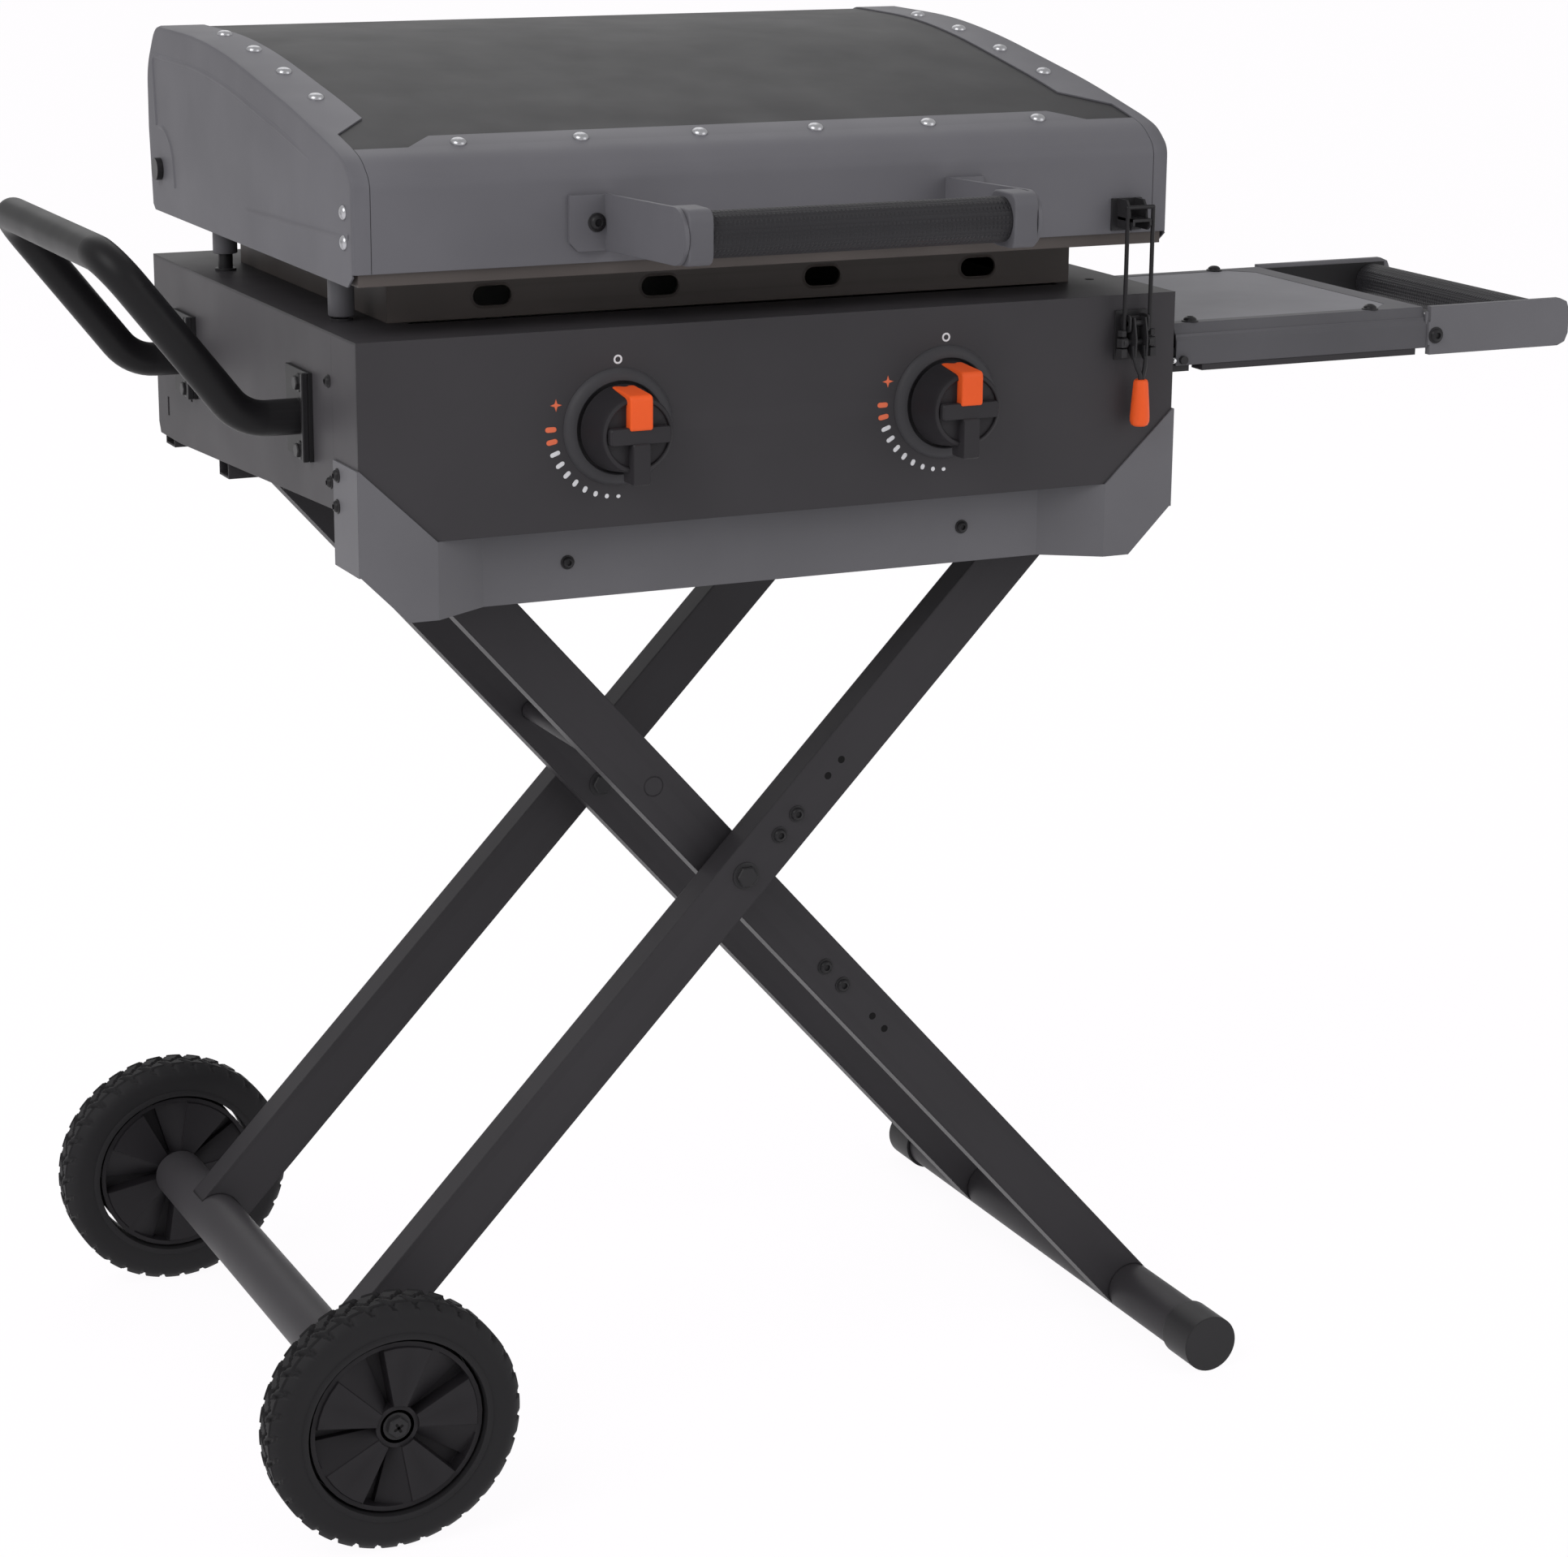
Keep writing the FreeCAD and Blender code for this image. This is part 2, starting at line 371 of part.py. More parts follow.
# Places that follow from the sizes of the pieces that carry them
PLACES = {
    "body_top": "body_base + body_tall",
    "side_dip": "body_base + dip_up",
    "side_break": "body_back - break_in",
    "slot_back": "body_back - slot_back_in",
    "slot_fore": "body_back - slot_fore_in",
    "slot_low": "body_base + slot_low_up",
    "slot_high": "body_base + slot_high_up",
    "trim_base": "body_base - trim_drop",
    "trim_peak": "body_base + trim_rise",
    "trim_facet": "body_half - facet_in",
    "trim_inner": "trim_facet - facet_run",
    "trim_cut_x": "body_half - trim_cut_in",
    "trim_cut_z": "trim_base + trim_cut_up",
    "deck_open_half": "body_half - deck_side",
    "deck_open_back": "body_back - deck_rear",
    "box_base": "body_top - box_deep",
    "knob_z": "body_base + knob_up",
    "burner_front": "deck_open_front + burner_fore",
    "burner_back": "deck_open_back - burner_aft",
    "foot_x": "body_half - foot_in",
    "foot_back": "body_back - foot_aft",
    "plate_base": "body_top + gauge + foot_tall",
    "plate_half": "body_half - plate_in",
    "plate_front": "hood_face + cover + plate_slack",
    "plate_back": "body_back - plate_aft",
    "lip_top": "plate_base + lip_tall",
    "wall_top": "plate_base + wall_tall",
    "ear_top": "plate_base + ear_tall",
    "guard_half": "foot_x - guard_in",
    "guard_front": "deck_open_front + guard_fore",
    "guard_back": "deck_open_back - guard_aft",
    "vent_z": "body_top + gauge + vent_up",
    "chute_front": "plate_back - chute_in",
    "chute_back": "body_back + chute_out",
    "hood_half": "plate_half + hood_gap + cover",
    "hood_base": "plate_base + hood_lift",
    "hood_side_base": "plate_base - hood_skirt",
    "face_top": "hood_base + face_tall",
    "brow_y": "hood_face + brow_run",
    "brow_z": "face_top + brow_rise",
    "strip_y": "brow_y + strip_run",
    "strip_z": "brow_z + strip_rise",
    "fore_y": "strip_y + fore_run",
    "fore_z": "strip_z + fore_rise",
    "mid_y": "fore_y + mid_run",
    "mid_z": "fore_z + mid_rise",
    "crest_y": "mid_y + crest_run",
    "crest_z": "mid_z + crest_rise",
    "heel_y": "rear_y - heel_in",
    "heel_z": "crest_z + heel_rise",
    "nape_y": "rear_y - nape_in",
    "nape_z": "heel_z - nape_drop",
    "rear_y": "plate_back + hood_aft",
    "rear_base": "nape_z - rear_tall",
    "tuck_z": "rear_base - tuck_drop",
    "hinge_y": "plate_back - hinge_in",
    "hinge_z": "plate_base + hinge_up",
    "arm_foot": "arm_x + arm_foot_wide",
    "arm_low": "hood_base + arm_up",
    "arm_high": "arm_low + arm_tall",
    "grip_z": "arm_low + grip_up",
    "grip_half": "arm_x - grip_cap",
    "latch_x": "body_half - latch_in",
    "latch_low": "latch_high - latch_tall",
    "latch_high": "body_top - latch_down",
    "latch_pivot_z": "body_top - lever_down",
    "latch_grip_top": "latch_pivot_z - lever_long",
    "latch_grip_base": "latch_grip_top - latch_grip_long",
    "catch_low": "hood_base + catch_up",
    "catch_high": "catch_low + catch_tall",
    "wire_top": "catch_low + wire_up",
    "tube_back": "tube_front + tube_span",
    "tube_z": "body_base + tube_up",
    "tube_elbow": "body_half + elbow_out",
    "tube_plate_low": "tube_z - tube_plate_down",
    "tube_plate_high": "tube_z + tube_plate_up",
    "shelf_left": "body_half + shelf_gap",
    "shelf_right": "shelf_left + shelf_long",
    "shelf_back": "shelf_front + shelf_wide",
    "shelf_top": "body_top - shelf_down",
    "shelf_base": "shelf_top - shelf_tall",
    "rail_right": "shelf_right - rail_short",
    "shelf_pin_x": "shelf_left + pin_in",
    "shelf_pin_z": "shelf_base + pin_up",
    "side_arm_right": "side_arm_left + side_arm_long",
    "side_arm_left": "shelf_right + side_arm_gap",
    "side_arm_low": "shelf_base - side_arm_under",
    "side_arm_high": "shelf_top + side_arm_over",
    "side_grip_x": "side_arm_right - side_grip_in",
    "side_grip_z": "shelf_base + side_grip_up",
    "top_z": "body_base - top_drop",
    "bar_reach": "(body_base - bar_drop - pivot_z) / sin(wheel_slope)",
    "beam_base": "body_base + beam_up",
    "cross_low": "body_base - cross_drop",
    "cross_front": "body_back - cross_fore",
    "cross_back": "body_back - cross_aft",
    "burner_mid": "(burner_front + burner_back) / 2",
}


def formula(text):
    """Put the sheet's name before each size in a formula, and each place in terms of sizes."""
    def known(match):
        word = match.group(0)
        if word in PLACES:
            return "(%s)" % formula(PLACES[word])
        return "sizes." + word if word in NAMES else word
    return re.sub(r"[a-z_]+", known, str(text))


def number(alias):
    """Value of one size, for the few shapes that are made from points."""
    return float(sheet.get(alias))


def bind(obj, **formulas):
    """Bind properties of an object to formulas."""
    for name, text in formulas.items():
        obj.setExpression(name, formula(text))
    return obj


def place(obj, x="0", y="0", z="0"):
    """Bind the place of an object."""
    obj.setExpression(".Placement.Base.x", formula(x))
    obj.setExpression(".Placement.Base.y", formula(y))
    obj.setExpression(".Placement.Base.z", formula(z))
    return obj


def turn(obj, axis, angle):
    """Bind the turn of an object about an axis, in degrees."""
    obj.Placement.Rotation = FreeCAD.Rotation(FreeCAD.Vector(*axis), 1)
    obj.setExpression(".Placement.Rotation.Angle", formula(angle))
    return obj


def box(name, x, y, z):
    """Block between three pairs of limits."""
    obj = doc.addObject("Part::Box", name)
    bind(obj, Length="(%s) - (%s)" % (x[1], x[0]))
    bind(obj, Width="(%s) - (%s)" % (y[1], y[0]))
    bind(obj, Height="(%s) - (%s)" % (z[1], z[0]))
    return place(obj, x[0], y[0], z[0])


TURNS = {"x": FreeCAD.Rotation(FreeCAD.Vector(0, 1, 0), 90),
         "y": FreeCAD.Rotation(FreeCAD.Vector(1, 0, 0), -90),
         "z": FreeCAD.Rotation()}


def rod(name, axis, x, y, z, length, radius):
    """Round bar that starts at a point and runs along an axis."""
    obj = doc.addObject("Part::Cylinder", name)
    bind(obj, Radius=radius, Height=length)
    obj.Placement.Rotation = TURNS[axis]
    return place(obj, x, y, z)


def cone(name, axis, x, y, z, length, start, end):
    """Tapered bar that starts at a point and runs along an axis."""
    obj = doc.addObject("Part::Cone", name)
    bind(obj, Radius1=start, Radius2=end, Height=length)
    obj.Placement.Rotation = TURNS[axis]
    return place(obj, x, y, z)


def cut(name, base, *tools):
    """First shape without the others."""
    obj = doc.addObject("Part::Cut", name)
    obj.Base = base
    obj.Tool = tools[0] if len(tools) == 1 else group(name + "_tools", *tools)
    return obj


def fuse(name, *shapes):
    """Shapes joined into one solid."""
    obj = doc.addObject("Part::MultiFuse", name)
    obj.Shapes = list(shapes)
    obj.Refine = True
    return obj


def group(name, *shapes):
    """Shapes kept apart in one group."""
    obj = doc.addObject("Part::Compound", name)
    obj.Links = list(shapes)
    return obj


def sketch_on(body, name, role, offset):
    """Empty sketch on one of the body's own planes."""
    sketch = body.newObject("Sketcher::SketchObject", name)
    plane = next(o for o in body.Origin.OriginFeatures if o.Role == role)
    sketch.AttachmentSupport = [(plane, "")]
    sketch.MapMode = "FlatFace"
    sketch.setExpression(".AttachmentOffset.Base.z", formula(offset))
    return sketch


def hold(sketch, kind, line, end, text):
    """Bind one distance of a point from the sketch's origin."""
    index = sketch.addConstraint(Sketcher.Constraint(kind, -1, 1, line, end, 1.0))
    sketch.setExpression("Constraints[%d]" % index, formula(text))


def polygon(sketch, points):
    """Closed outline in a sketch, each corner bound to two formulas."""
    first = len(sketch.Geometry)
    count = len(points)
    for i in range(count):
        a = 2 * math.pi * i / count
        b = 2 * math.pi * (i + 1) / count
        start = FreeCAD.Vector(100 * math.cos(a), 100 * math.sin(a), 0)
        end = FreeCAD.Vector(100 * math.cos(b), 100 * math.sin(b), 0)
        sketch.addGeometry(Part.LineSegment(start, end))
    for i, (across, up) in enumerate(points):
        following = first + (i + 1) % count
        sketch.addConstraint(Sketcher.Constraint("Coincident", first + i, 2, following, 1))
        hold(sketch, "DistanceX", first + i, 1, across)
        hold(sketch, "DistanceY", first + i, 1, up)


def circle(sketch, across, up, radius):
    """Circle in a sketch, bound to formulas."""
    line = sketch.addGeometry(Part.Circle(FreeCAD.Vector(1, 1, 0), FreeCAD.Vector(0, 0, 1), 2))
    hold(sketch, "DistanceX", line, 3, across)
    hold(sketch, "DistanceY", line, 3, up)
    index = sketch.addConstraint(Sketcher.Constraint("Radius", line, 2.0))
    sketch.setExpression("Constraints[%d]" % index, formula(radius))


def prism(name, role, points, start, length, holes=(), slots=()):
    """Outline pushed through a plate from start over length, with round and straight holes."""
    body = doc.addObject("PartDesign::Body", name)
    # The sketch plane XZ looks toward the front, so its offset is negative.
    level = "-((%s) + (%s))" % (start, length) if role == "XZ_Plane" else start
    sketch = sketch_on(body, name + "_outline", role, level)
    polygon(sketch, points)
    pad = body.newObject("PartDesign::Pad", name + "_pad")
    pad.Profile = sketch
    bind(pad, Length=length)
    if holes or slots:
        openings = sketch_on(body, name + "_openings", role, level)
        for across, up, radius in holes:
            circle(openings, across, up, radius)
        for corners in slots:
            polygon(openings, corners)
        pocket = body.newObject("PartDesign::Pocket", name + "_pocket")
        pocket.Profile = openings
        pocket.Type = "ThroughAll"
        pocket.Midplane = True
    return body


def rectangle(across, up):
    """Corners of a rectangle between two pairs of limits."""
    return [(across[0], up[0]), (across[1], up[0]), (across[1], up[1]), (across[0], up[1])]


def node(obj, label, x="0", y="0", z="0"):
    """Finished piece: its name, and its shift into the frame of the whole object."""
    obj.Label = label
    place(obj, "origin_x + (%s)" % x, "origin_y + (%s)" % y, z)
    NODES.append(obj)


# Body walls
for side, sign in (("left", "-1"), ("right", "1")):
    outline = [("side_seam", "side_dip"), ("side_break", "body_base"),
               ("body_back - side_corner / 2", "body_base"), ("body_back", "body_base + side_corner"),
               ("body_back", "body_top"), ("side_seam", "body_top")]
    slots = [rectangle(("slot_back - slot_wide / 2", "slot_back + slot_wide / 2"),
                       ("slot_low - slot_tall / 2", "slot_low + slot_tall / 2")),
             rectangle(("slot_fore - slot_wide / 2", "slot_fore + slot_wide / 2"),
                       ("slot_high - slot_tall / 2", "slot_high + slot_tall / 2"))]
    wall = prism("wall_" + side, "YZ_Plane", outline, "-gauge / 2", "gauge", (), slots)
    node(wall, "side_panel_" + side, "%s * (body_half - gauge / 2)" % sign)

back = box("back_wall", ("-body_half + gauge", "body_half - gauge"),
           ("body_back - gauge", "body_back"), ("body_base + side_corner", "body_top"))
node(group("back_group", back), "back_panel")

web_holes = [("-knob_x", "knob_z", "spindle_hole_r"), ("knob_x", "knob_z", "spindle_hole_r")]
web = prism("frame_web", "XZ_Plane", rectangle(("-body_half", "body_half"), ("body_base", "body_top")),
            "gauge", "gauge", web_holes)
cheek_left = box("cheek_left", ("-body_half", "-body_half + gauge"),
                 ("gauge", "side_seam"), ("body_base", "body_top"))
cheek_right = box("cheek_right", ("body_half - gauge", "body_half"),
                  ("gauge", "side_seam"), ("body_base", "body_top"))
lip = box("frame_lip_plate", ("-body_half", "body_half"),
          ("gauge", "side_seam - frame_lip"), ("body_base", "body_base + gauge"))
node(fuse("frame", web, cheek_left, cheek_right, lip), "front_frame")

panel = prism("panel", "XZ_Plane",
              rectangle(("-body_half", "body_half"), ("body_base", "body_top + gauge")),
              "0", "gauge", web_holes)
node(panel, "control_panel")

# Front trim: one bent sheet with slanted upper corners and cut lower corners
plan = [("-body_half - gauge", "trim_wrap"), ("-body_half - gauge", "-gauge"),
        ("-trim_facet", "-gauge"), ("-trim_inner", "trim_depth"), ("trim_inner", "trim_depth"),
        ("trim_facet", "-gauge"), ("body_half + gauge", "-gauge"), ("body_half + gauge", "trim_wrap"),
        ("body_half", "trim_wrap"), ("body_half", "0"), ("trim_facet - gauge / 3", "0"),
        ("trim_inner - gauge / 3", "trim_depth + gauge"), ("-trim_inner + gauge / 3", "trim_depth + gauge"),
        ("-trim_facet + gauge / 3", "0"), ("-body_half", "0"), ("-body_half", "trim_wrap")]
trim = prism("trim", "XY_Plane", plan, "trim_base", "trim_peak - trim_base")
profile = sketch_on(trim, "trim_profile", "XZ_Plane", "0")
polygon(profile, [("-body_half", "trim_peak"), ("-trim_facet", "body_base"), ("trim_facet", "body_base"),
                  ("body_half", "trim_peak"), ("body_half", "trim_peak + over"),
                  ("-body_half", "trim_peak + over")])
for sign in ("-1", "1"):
    reach = "%s * (body_half + gauge + over)" % sign
    polygon(profile, [("%s * trim_cut_x" % sign, "trim_base"), ("%s * body_half" % sign, "trim_cut_z"),
                      (reach, "trim_cut_z"), (reach, "trim_base - over"),
                      ("%s * trim_cut_x" % sign, "trim_base - over")])
trim_pocket = trim.newObject("PartDesign::Pocket", "trim_pocket")
trim_pocket.Profile = profile
trim_pocket.Type = "ThroughAll"
trim_pocket.Midplane = True
node(trim, "front_trim")

deck = prism("deck", "XY_Plane", rectangle(("-body_half", "body_half"), ("gauge", "body_back")),
             "body_top", "gauge", (),
             [rectangle(("-deck_open_half", "deck_open_half"), ("deck_open_front", "deck_open_back"))])
node(deck, "top_deck")

# Rails and beams under the body
rails = []
for spot in ("cross_front", "cross_back"):
    whole_rail = box("rail_" + spot, ("-body_half + gauge", "body_half - gauge"),
                     (spot + " - cross_wide / 2", spot + " + cross_wide / 2"), ("cross_low", "beam_base"))
    core = box("rail_core_" + spot, ("-body_half", "body_half"),
               (spot + " - cross_wide / 2 + gauge", spot + " + cross_wide / 2 - gauge"),
               ("cross_low + gauge", "beam_base - gauge"))
    rails.append(cut("hollow_rail_" + spot, whole_rail, core))

TOP_X = "(pivot_x - (top_z - pivot_z) / tan(foot_slope))"
BAR_X = "(pivot_x + bar_reach * cos(wheel_slope))"
BAR_Z = "(pivot_z + bar_reach * sin(wheel_slope))"
for side, middle in (("left", TOP_X), ("right", BAR_X)):
    whole_beam = box("beam_" + side, (middle + " - beam_wide / 2", middle + " + beam_wide / 2"),
                     ("2 * gauge", "body_back - gauge"), ("beam_base", "beam_base + beam_high"))
    core = box("beam_core_" + side,
               (middle + " - beam_wide / 2 + gauge", middle + " + beam_wide / 2 - gauge"),
               ("gauge", "body_back"), ("beam_base + gauge", "beam_base + beam_high - gauge"))
    rails.append(cut("hollow_beam_" + side, whole_beam, core))
node(group("base_rail_group", *rails), "base_rails")

# Burner box and burners
outer = box("tray_outer", ("-deck_open_half - gauge", "deck_open_half + gauge"),
            ("deck_open_front - gauge", "deck_open_back + gauge"), ("box_base", "body_top"))
flange = box("tray_flange", ("-deck_open_half - box_lip", "deck_open_half + box_lip"),
             ("deck_open_front - box_lip", "deck_open_back + box_lip"), ("body_top - gauge", "body_top"))
inner = box("tray_inner", ("-deck_open_half", "deck_open_half"),
            ("deck_open_front", "deck_open_back"), ("box_base + gauge", "body_top + gauge"))
necks = [rod("neck_hole_" + side, "y", sign + " * knob_x", "deck_open_front - 2 * gauge", "knob_z",
             "4 * gauge", "neck_r + seat") for side, sign in (("left", "-1"), ("right", "1"))]
node(cut("tray", fuse("tray_shell", outer, flange), inner, *necks), "burner_box")

burners = []
for side, sign in (("left", "-1"), ("right", "1")):
    mid = sign + " * knob_x"
    tubes = []
    bores = []
    for wall, inset, pile in (("", "0", tubes), (" - burner_wall", "burner_wall", bores)):
        kind = "burner_%s_%d" % (side, len(bores) + len(tubes))
        for i in (-1, 1):
            pile.append(rod("%s_tube_%d" % (kind, i), "y", "%s + (%d) * burner_half" % (mid, i),
                            "burner_front + " + inset, "knob_z",
                            "burner_back - burner_front - 2 * (%s)" % inset, "burner_r" + wall))
        pile.append(rod(kind + "_cross", "x", mid + " - burner_half", "burner_mid", "knob_z",
                        "2 * burner_half", "cross_r" + wall))
        pile.append(rod(kind + "_neck", "y", mid, "burner_neck - " + inset, "knob_z",
                        "burner_mid - burner_neck + " + inset, "neck_r" + wall))
    burners.append(cut("burner_" + side, fuse("burner_tubes_" + side, *tubes), *bores))
node(group("burner_group", *burners), "burners")

valves = []
for side, sign in (("left", "-1"), ("right", "1")):
    mid = sign + " * knob_x"
    block = box("valve_block_" + side, (mid + " - valve_half", mid + " + valve_half"),
                ("2 * gauge", "valve_back"), ("knob_z - valve_half", "knob_z + valve_half"))
    nozzle = rod("nozzle_" + side, "y", mid, "valve_back - over", "knob_z", "nozzle_long", "nozzle_r")
    seat = rod("spindle_bore_" + side, "y", mid, "0", "knob_z", "spindle_bore", "spindle_r + fit")
    valves.append(cut("valve_" + side, fuse("valve_body_" + side, block, nozzle), seat))
node(group("valve_group", *valves), "gas_valves")

MANIFOLD_Z = "knob_z - valve_half - manifold_r"
pipe = rod("manifold_pipe", "x", "-manifold_left", "manifold_y", MANIFOLD_Z,
           "manifold_left + manifold_right", "manifold_r")
inlet = rod("inlet_body", "x", "manifold_right", "manifold_y", MANIFOLD_Z, "inlet_long", "inlet_r")
inlet_bore = rod("inlet_bore", "x", "manifold_right + inlet_wall", "manifold_y", MANIFOLD_Z, "inlet_long",
                 "inlet_r / 2")
node(group("manifold_group", pipe, cut("inlet", inlet, inlet_bore)), "gas_manifold")

# Knobs with their spindles and bezels
bezels = []
for side, sign in (("left", "-1"), ("right", "1")):
    mid = sign + " * knob_x"
    ring = cone("bezel_cone_" + side, "y", mid, "-bezel_deep", "knob_z", "bezel_deep",
                "bezel_bore + bezel_lip", "bezel_r")
    bezel_hole = rod("bezel_hole_" + side, "y", mid, "-bezel_deep - over", "knob_z",
                     "bezel_deep + 2 * over", "bezel_bore")
    bezels.append(cut("bezel_" + side, ring, bezel_hole))
    spindle = rod("spindle_bar_" + side, "y", mid, "-knob_gap - knob_deep / 2", "knob_z",
                  "knob_gap + knob_deep / 2 + spindle_end", "spindle_r")
    node(group("spindle_group_" + side, spindle), "valve_spindle_" + side)
    barrel = rod("barrel_" + side, "y", mid, "-knob_gap - knob_deep", "knob_z", "knob_deep", "knob_r")
    pointer = box("pointer_" + side, (mid + " - pointer_wide / 2", mid + " + pointer_wide / 2"),
                  ("-knob_front", "-knob_gap - knob_deep + pointer_deep"),
                  ("knob_z + band_high / 2", "knob_z + knob_r + pointer_over"))
    tail = box("tail_" + side, (mid + " - tail_wide / 2", mid + " + tail_wide / 2"),
               ("-knob_front", "-knob_gap - knob_deep + pointer_deep"),
               ("knob_z - tail_reach", "knob_z - band_high"))
    band = box("band_" + side, (mid + " - knob_r + band_inset", mid + " + knob_r - band_inset"),
               ("-knob_front + band_back", "-knob_gap - knob_deep + over"),
               ("knob_z - band_high / 2", "knob_z + band_high / 2"))
    knob_bore = rod("knob_bore_" + side, "y", mid, "-knob_gap - knob_deep / 2 - seat", "knob_z",
                    "knob_deep", "spindle_r + fit")
    node(cut("knob_" + side, fuse("knob_body_" + side, barrel, pointer, tail, band), knob_bore),
         "knob_" + side)
node(group("bezel_group", *bezels), "knob_bezels")

# Griddle plate, its feet and the heat guard
floor = box("plate_floor", ("-plate_half", "plate_half"), ("plate_front", "plate_back"),
            ("plate_base", "plate_base + plate_thick"))
front_wall = box("plate_front_wall", ("-plate_half", "plate_half"),
                 ("plate_front", "plate_front + wall_thick"), ("plate_base", "lip_top"))
rear_wall = box("plate_rear_wall", ("-plate_half", "plate_half"),
                ("plate_back - wall_thick", "plate_back"), ("plate_base", "lip_top"))
cheek_outline = [("plate_front", "plate_base"), ("plate_back", "plate_base"), ("plate_back", "ear_top"),
                 ("plate_back - ear_long", "ear_top"), ("plate_back - 2 * ear_long", "wall_top"),
                 ("plate_front", "lip_top")]
cheeks = [prism("plate_cheek_" + side, "YZ_Plane", cheek_outline, start, "wall_thick",
                [("hinge_y", "hinge_z", "hinge_r + fit")])
          for side, start in (("left", "-plate_half"), ("right", "plate_half - wall_thick"))]
drain = rod("drain", "z", "0", "plate_back - wall_thick - drain_r - drain_edge", "plate_base - over",
            "plate_thick + 2 * over", "drain_r")
node(cut("plate", fuse("plate_shell", floor, front_wall, rear_wall, *cheeks), drain), "griddle_plate")

DECK = "(body_top + gauge)"
GUARD_Z = (DECK, "plate_base")
guard_front = box("guard_front_wall", ("-guard_half", "guard_half"), ("guard_front", "guard_front + gauge"),
                  GUARD_Z)
guard_back = box("guard_back_wall", ("-guard_half", "guard_half"), ("guard_back - gauge", "guard_back"),
                 GUARD_Z)
guard_sides = [box("guard_side_" + side, limits, ("guard_front + gauge", "guard_back - gauge"), GUARD_Z)
               for side, limits in (("left", ("-guard_half", "-guard_half + gauge")),
                                    ("right", ("guard_half - gauge", "guard_half")))]
vents = [box("vent_%d" % i, (mid + " - vent_wide / 2", mid + " + vent_wide / 2"),
             ("guard_front - over", "guard_front + gauge + over"),
             ("vent_z - vent_tall / 2", "vent_z + vent_tall / 2"))
         for i, mid in enumerate(("-vent_far", "-vent_near", "vent_near", "vent_far"))]

FOOT_PLACES = (("left_front", "-foot_x", "foot_front"), ("left_back", "-foot_x", "foot_back"),
               ("right_back", "foot_x", "foot_back"))
feet = [rod("foot_" + corner, "z", x, y, DECK, "plate_base - " + DECK, "foot_r")
        for corner, x, y in FOOT_PLACES]
node(group("support_group", cut("guard_vented", guard_front, *vents), guard_back, *guard_sides, *feet),
     "griddle_support")

# Grease chute and cup
CHUTE_Z = "(plate_base - chute_deep)"
chute_out = box("chute_outer", ("-chute_half", "chute_half"), ("chute_front", "chute_back"),
                (CHUTE_Z, "plate_base"))
chute_in = box("chute_inner", ("-chute_half + gauge", "chute_half - gauge"),
               ("chute_front + gauge", "chute_back + over"), (CHUTE_Z + " + gauge", "plate_base + over"))
chute_spout = box("chute_spout", ("-chute_half / 2", "chute_half / 2"),
                  ("chute_back - spout_long", "chute_back + over"), (CHUTE_Z + " - over", "plate_base"))
node(cut("chute", chute_out, chute_in, chute_spout), "grease_chute")

CUP_TOP = "(%s - cup_drop)" % CHUTE_Z
CUP_Y = "(body_back + runner_thick)"
cup_box = box("cup_box", ("-cup_half", "cup_half"), (CUP_Y, CUP_Y + " + cup_deep"),
              (CUP_TOP + " - cup_tall", CUP_TOP))
cup_rim = box("cup_rim", ("-cup_half - cup_lip", "cup_half + cup_lip"), (CUP_Y, CUP_Y + " + cup_deep"),
              (CUP_TOP + " - gauge", CUP_TOP))
cup_hollow = box("cup_hollow", ("-cup_half + gauge", "cup_half - gauge"),
                 (CUP_Y + " + gauge", CUP_Y + " + cup_deep - gauge"),
                 (CUP_TOP + " - cup_tall + gauge", CUP_TOP + " + over"))
node(cut("cup", fuse("cup_shell", cup_box, cup_rim), cup_hollow), "grease_cup")

runners = []
for side, sign in (("left", -1), ("right", 1)):
    near = "%d * (cup_half + cup_slack)" % sign
    far = "%d * (cup_half + cup_lip + runner_thick + cup_slack)" % sign
    limits = (near, far) if sign > 0 else (far, near)
    plate_limits = ("body_back", "body_back + runner_long")
    shelf_part = box("runner_shelf_" + side, limits, plate_limits,
                     (CUP_TOP + " - gauge - runner_thick", CUP_TOP + " - gauge"))
    mount_part = box("runner_mount_" + side, limits, ("body_back", "body_back + runner_thick - seat"),
                     (CUP_TOP + " - gauge - runner_drop", CUP_TOP + " - gauge - runner_thick"))
    runners.append(fuse("runner_" + side, shelf_part, mount_part))
node(group("runner_group", *runners), "cup_runners")


# Hood
def band(points, start, end):
    """Thin closed outline between a line of points and the same line moved inward.

    Each point has its place and the share of the thickness that it moves in Y and in Z.
    """
    near = [("%s + (%s) * (%s)" % (y, dy, start), "%s + (%s) * (%s)" % (z, dz, start))
            for y, z, dy, dz in points]
    far = [("%s + (%s) * (%s)" % (y, dy, end), "%s + (%s) * (%s)" % (z, dz, end))
           for y, z, dy, dz in points]
    return near + far[::-1]


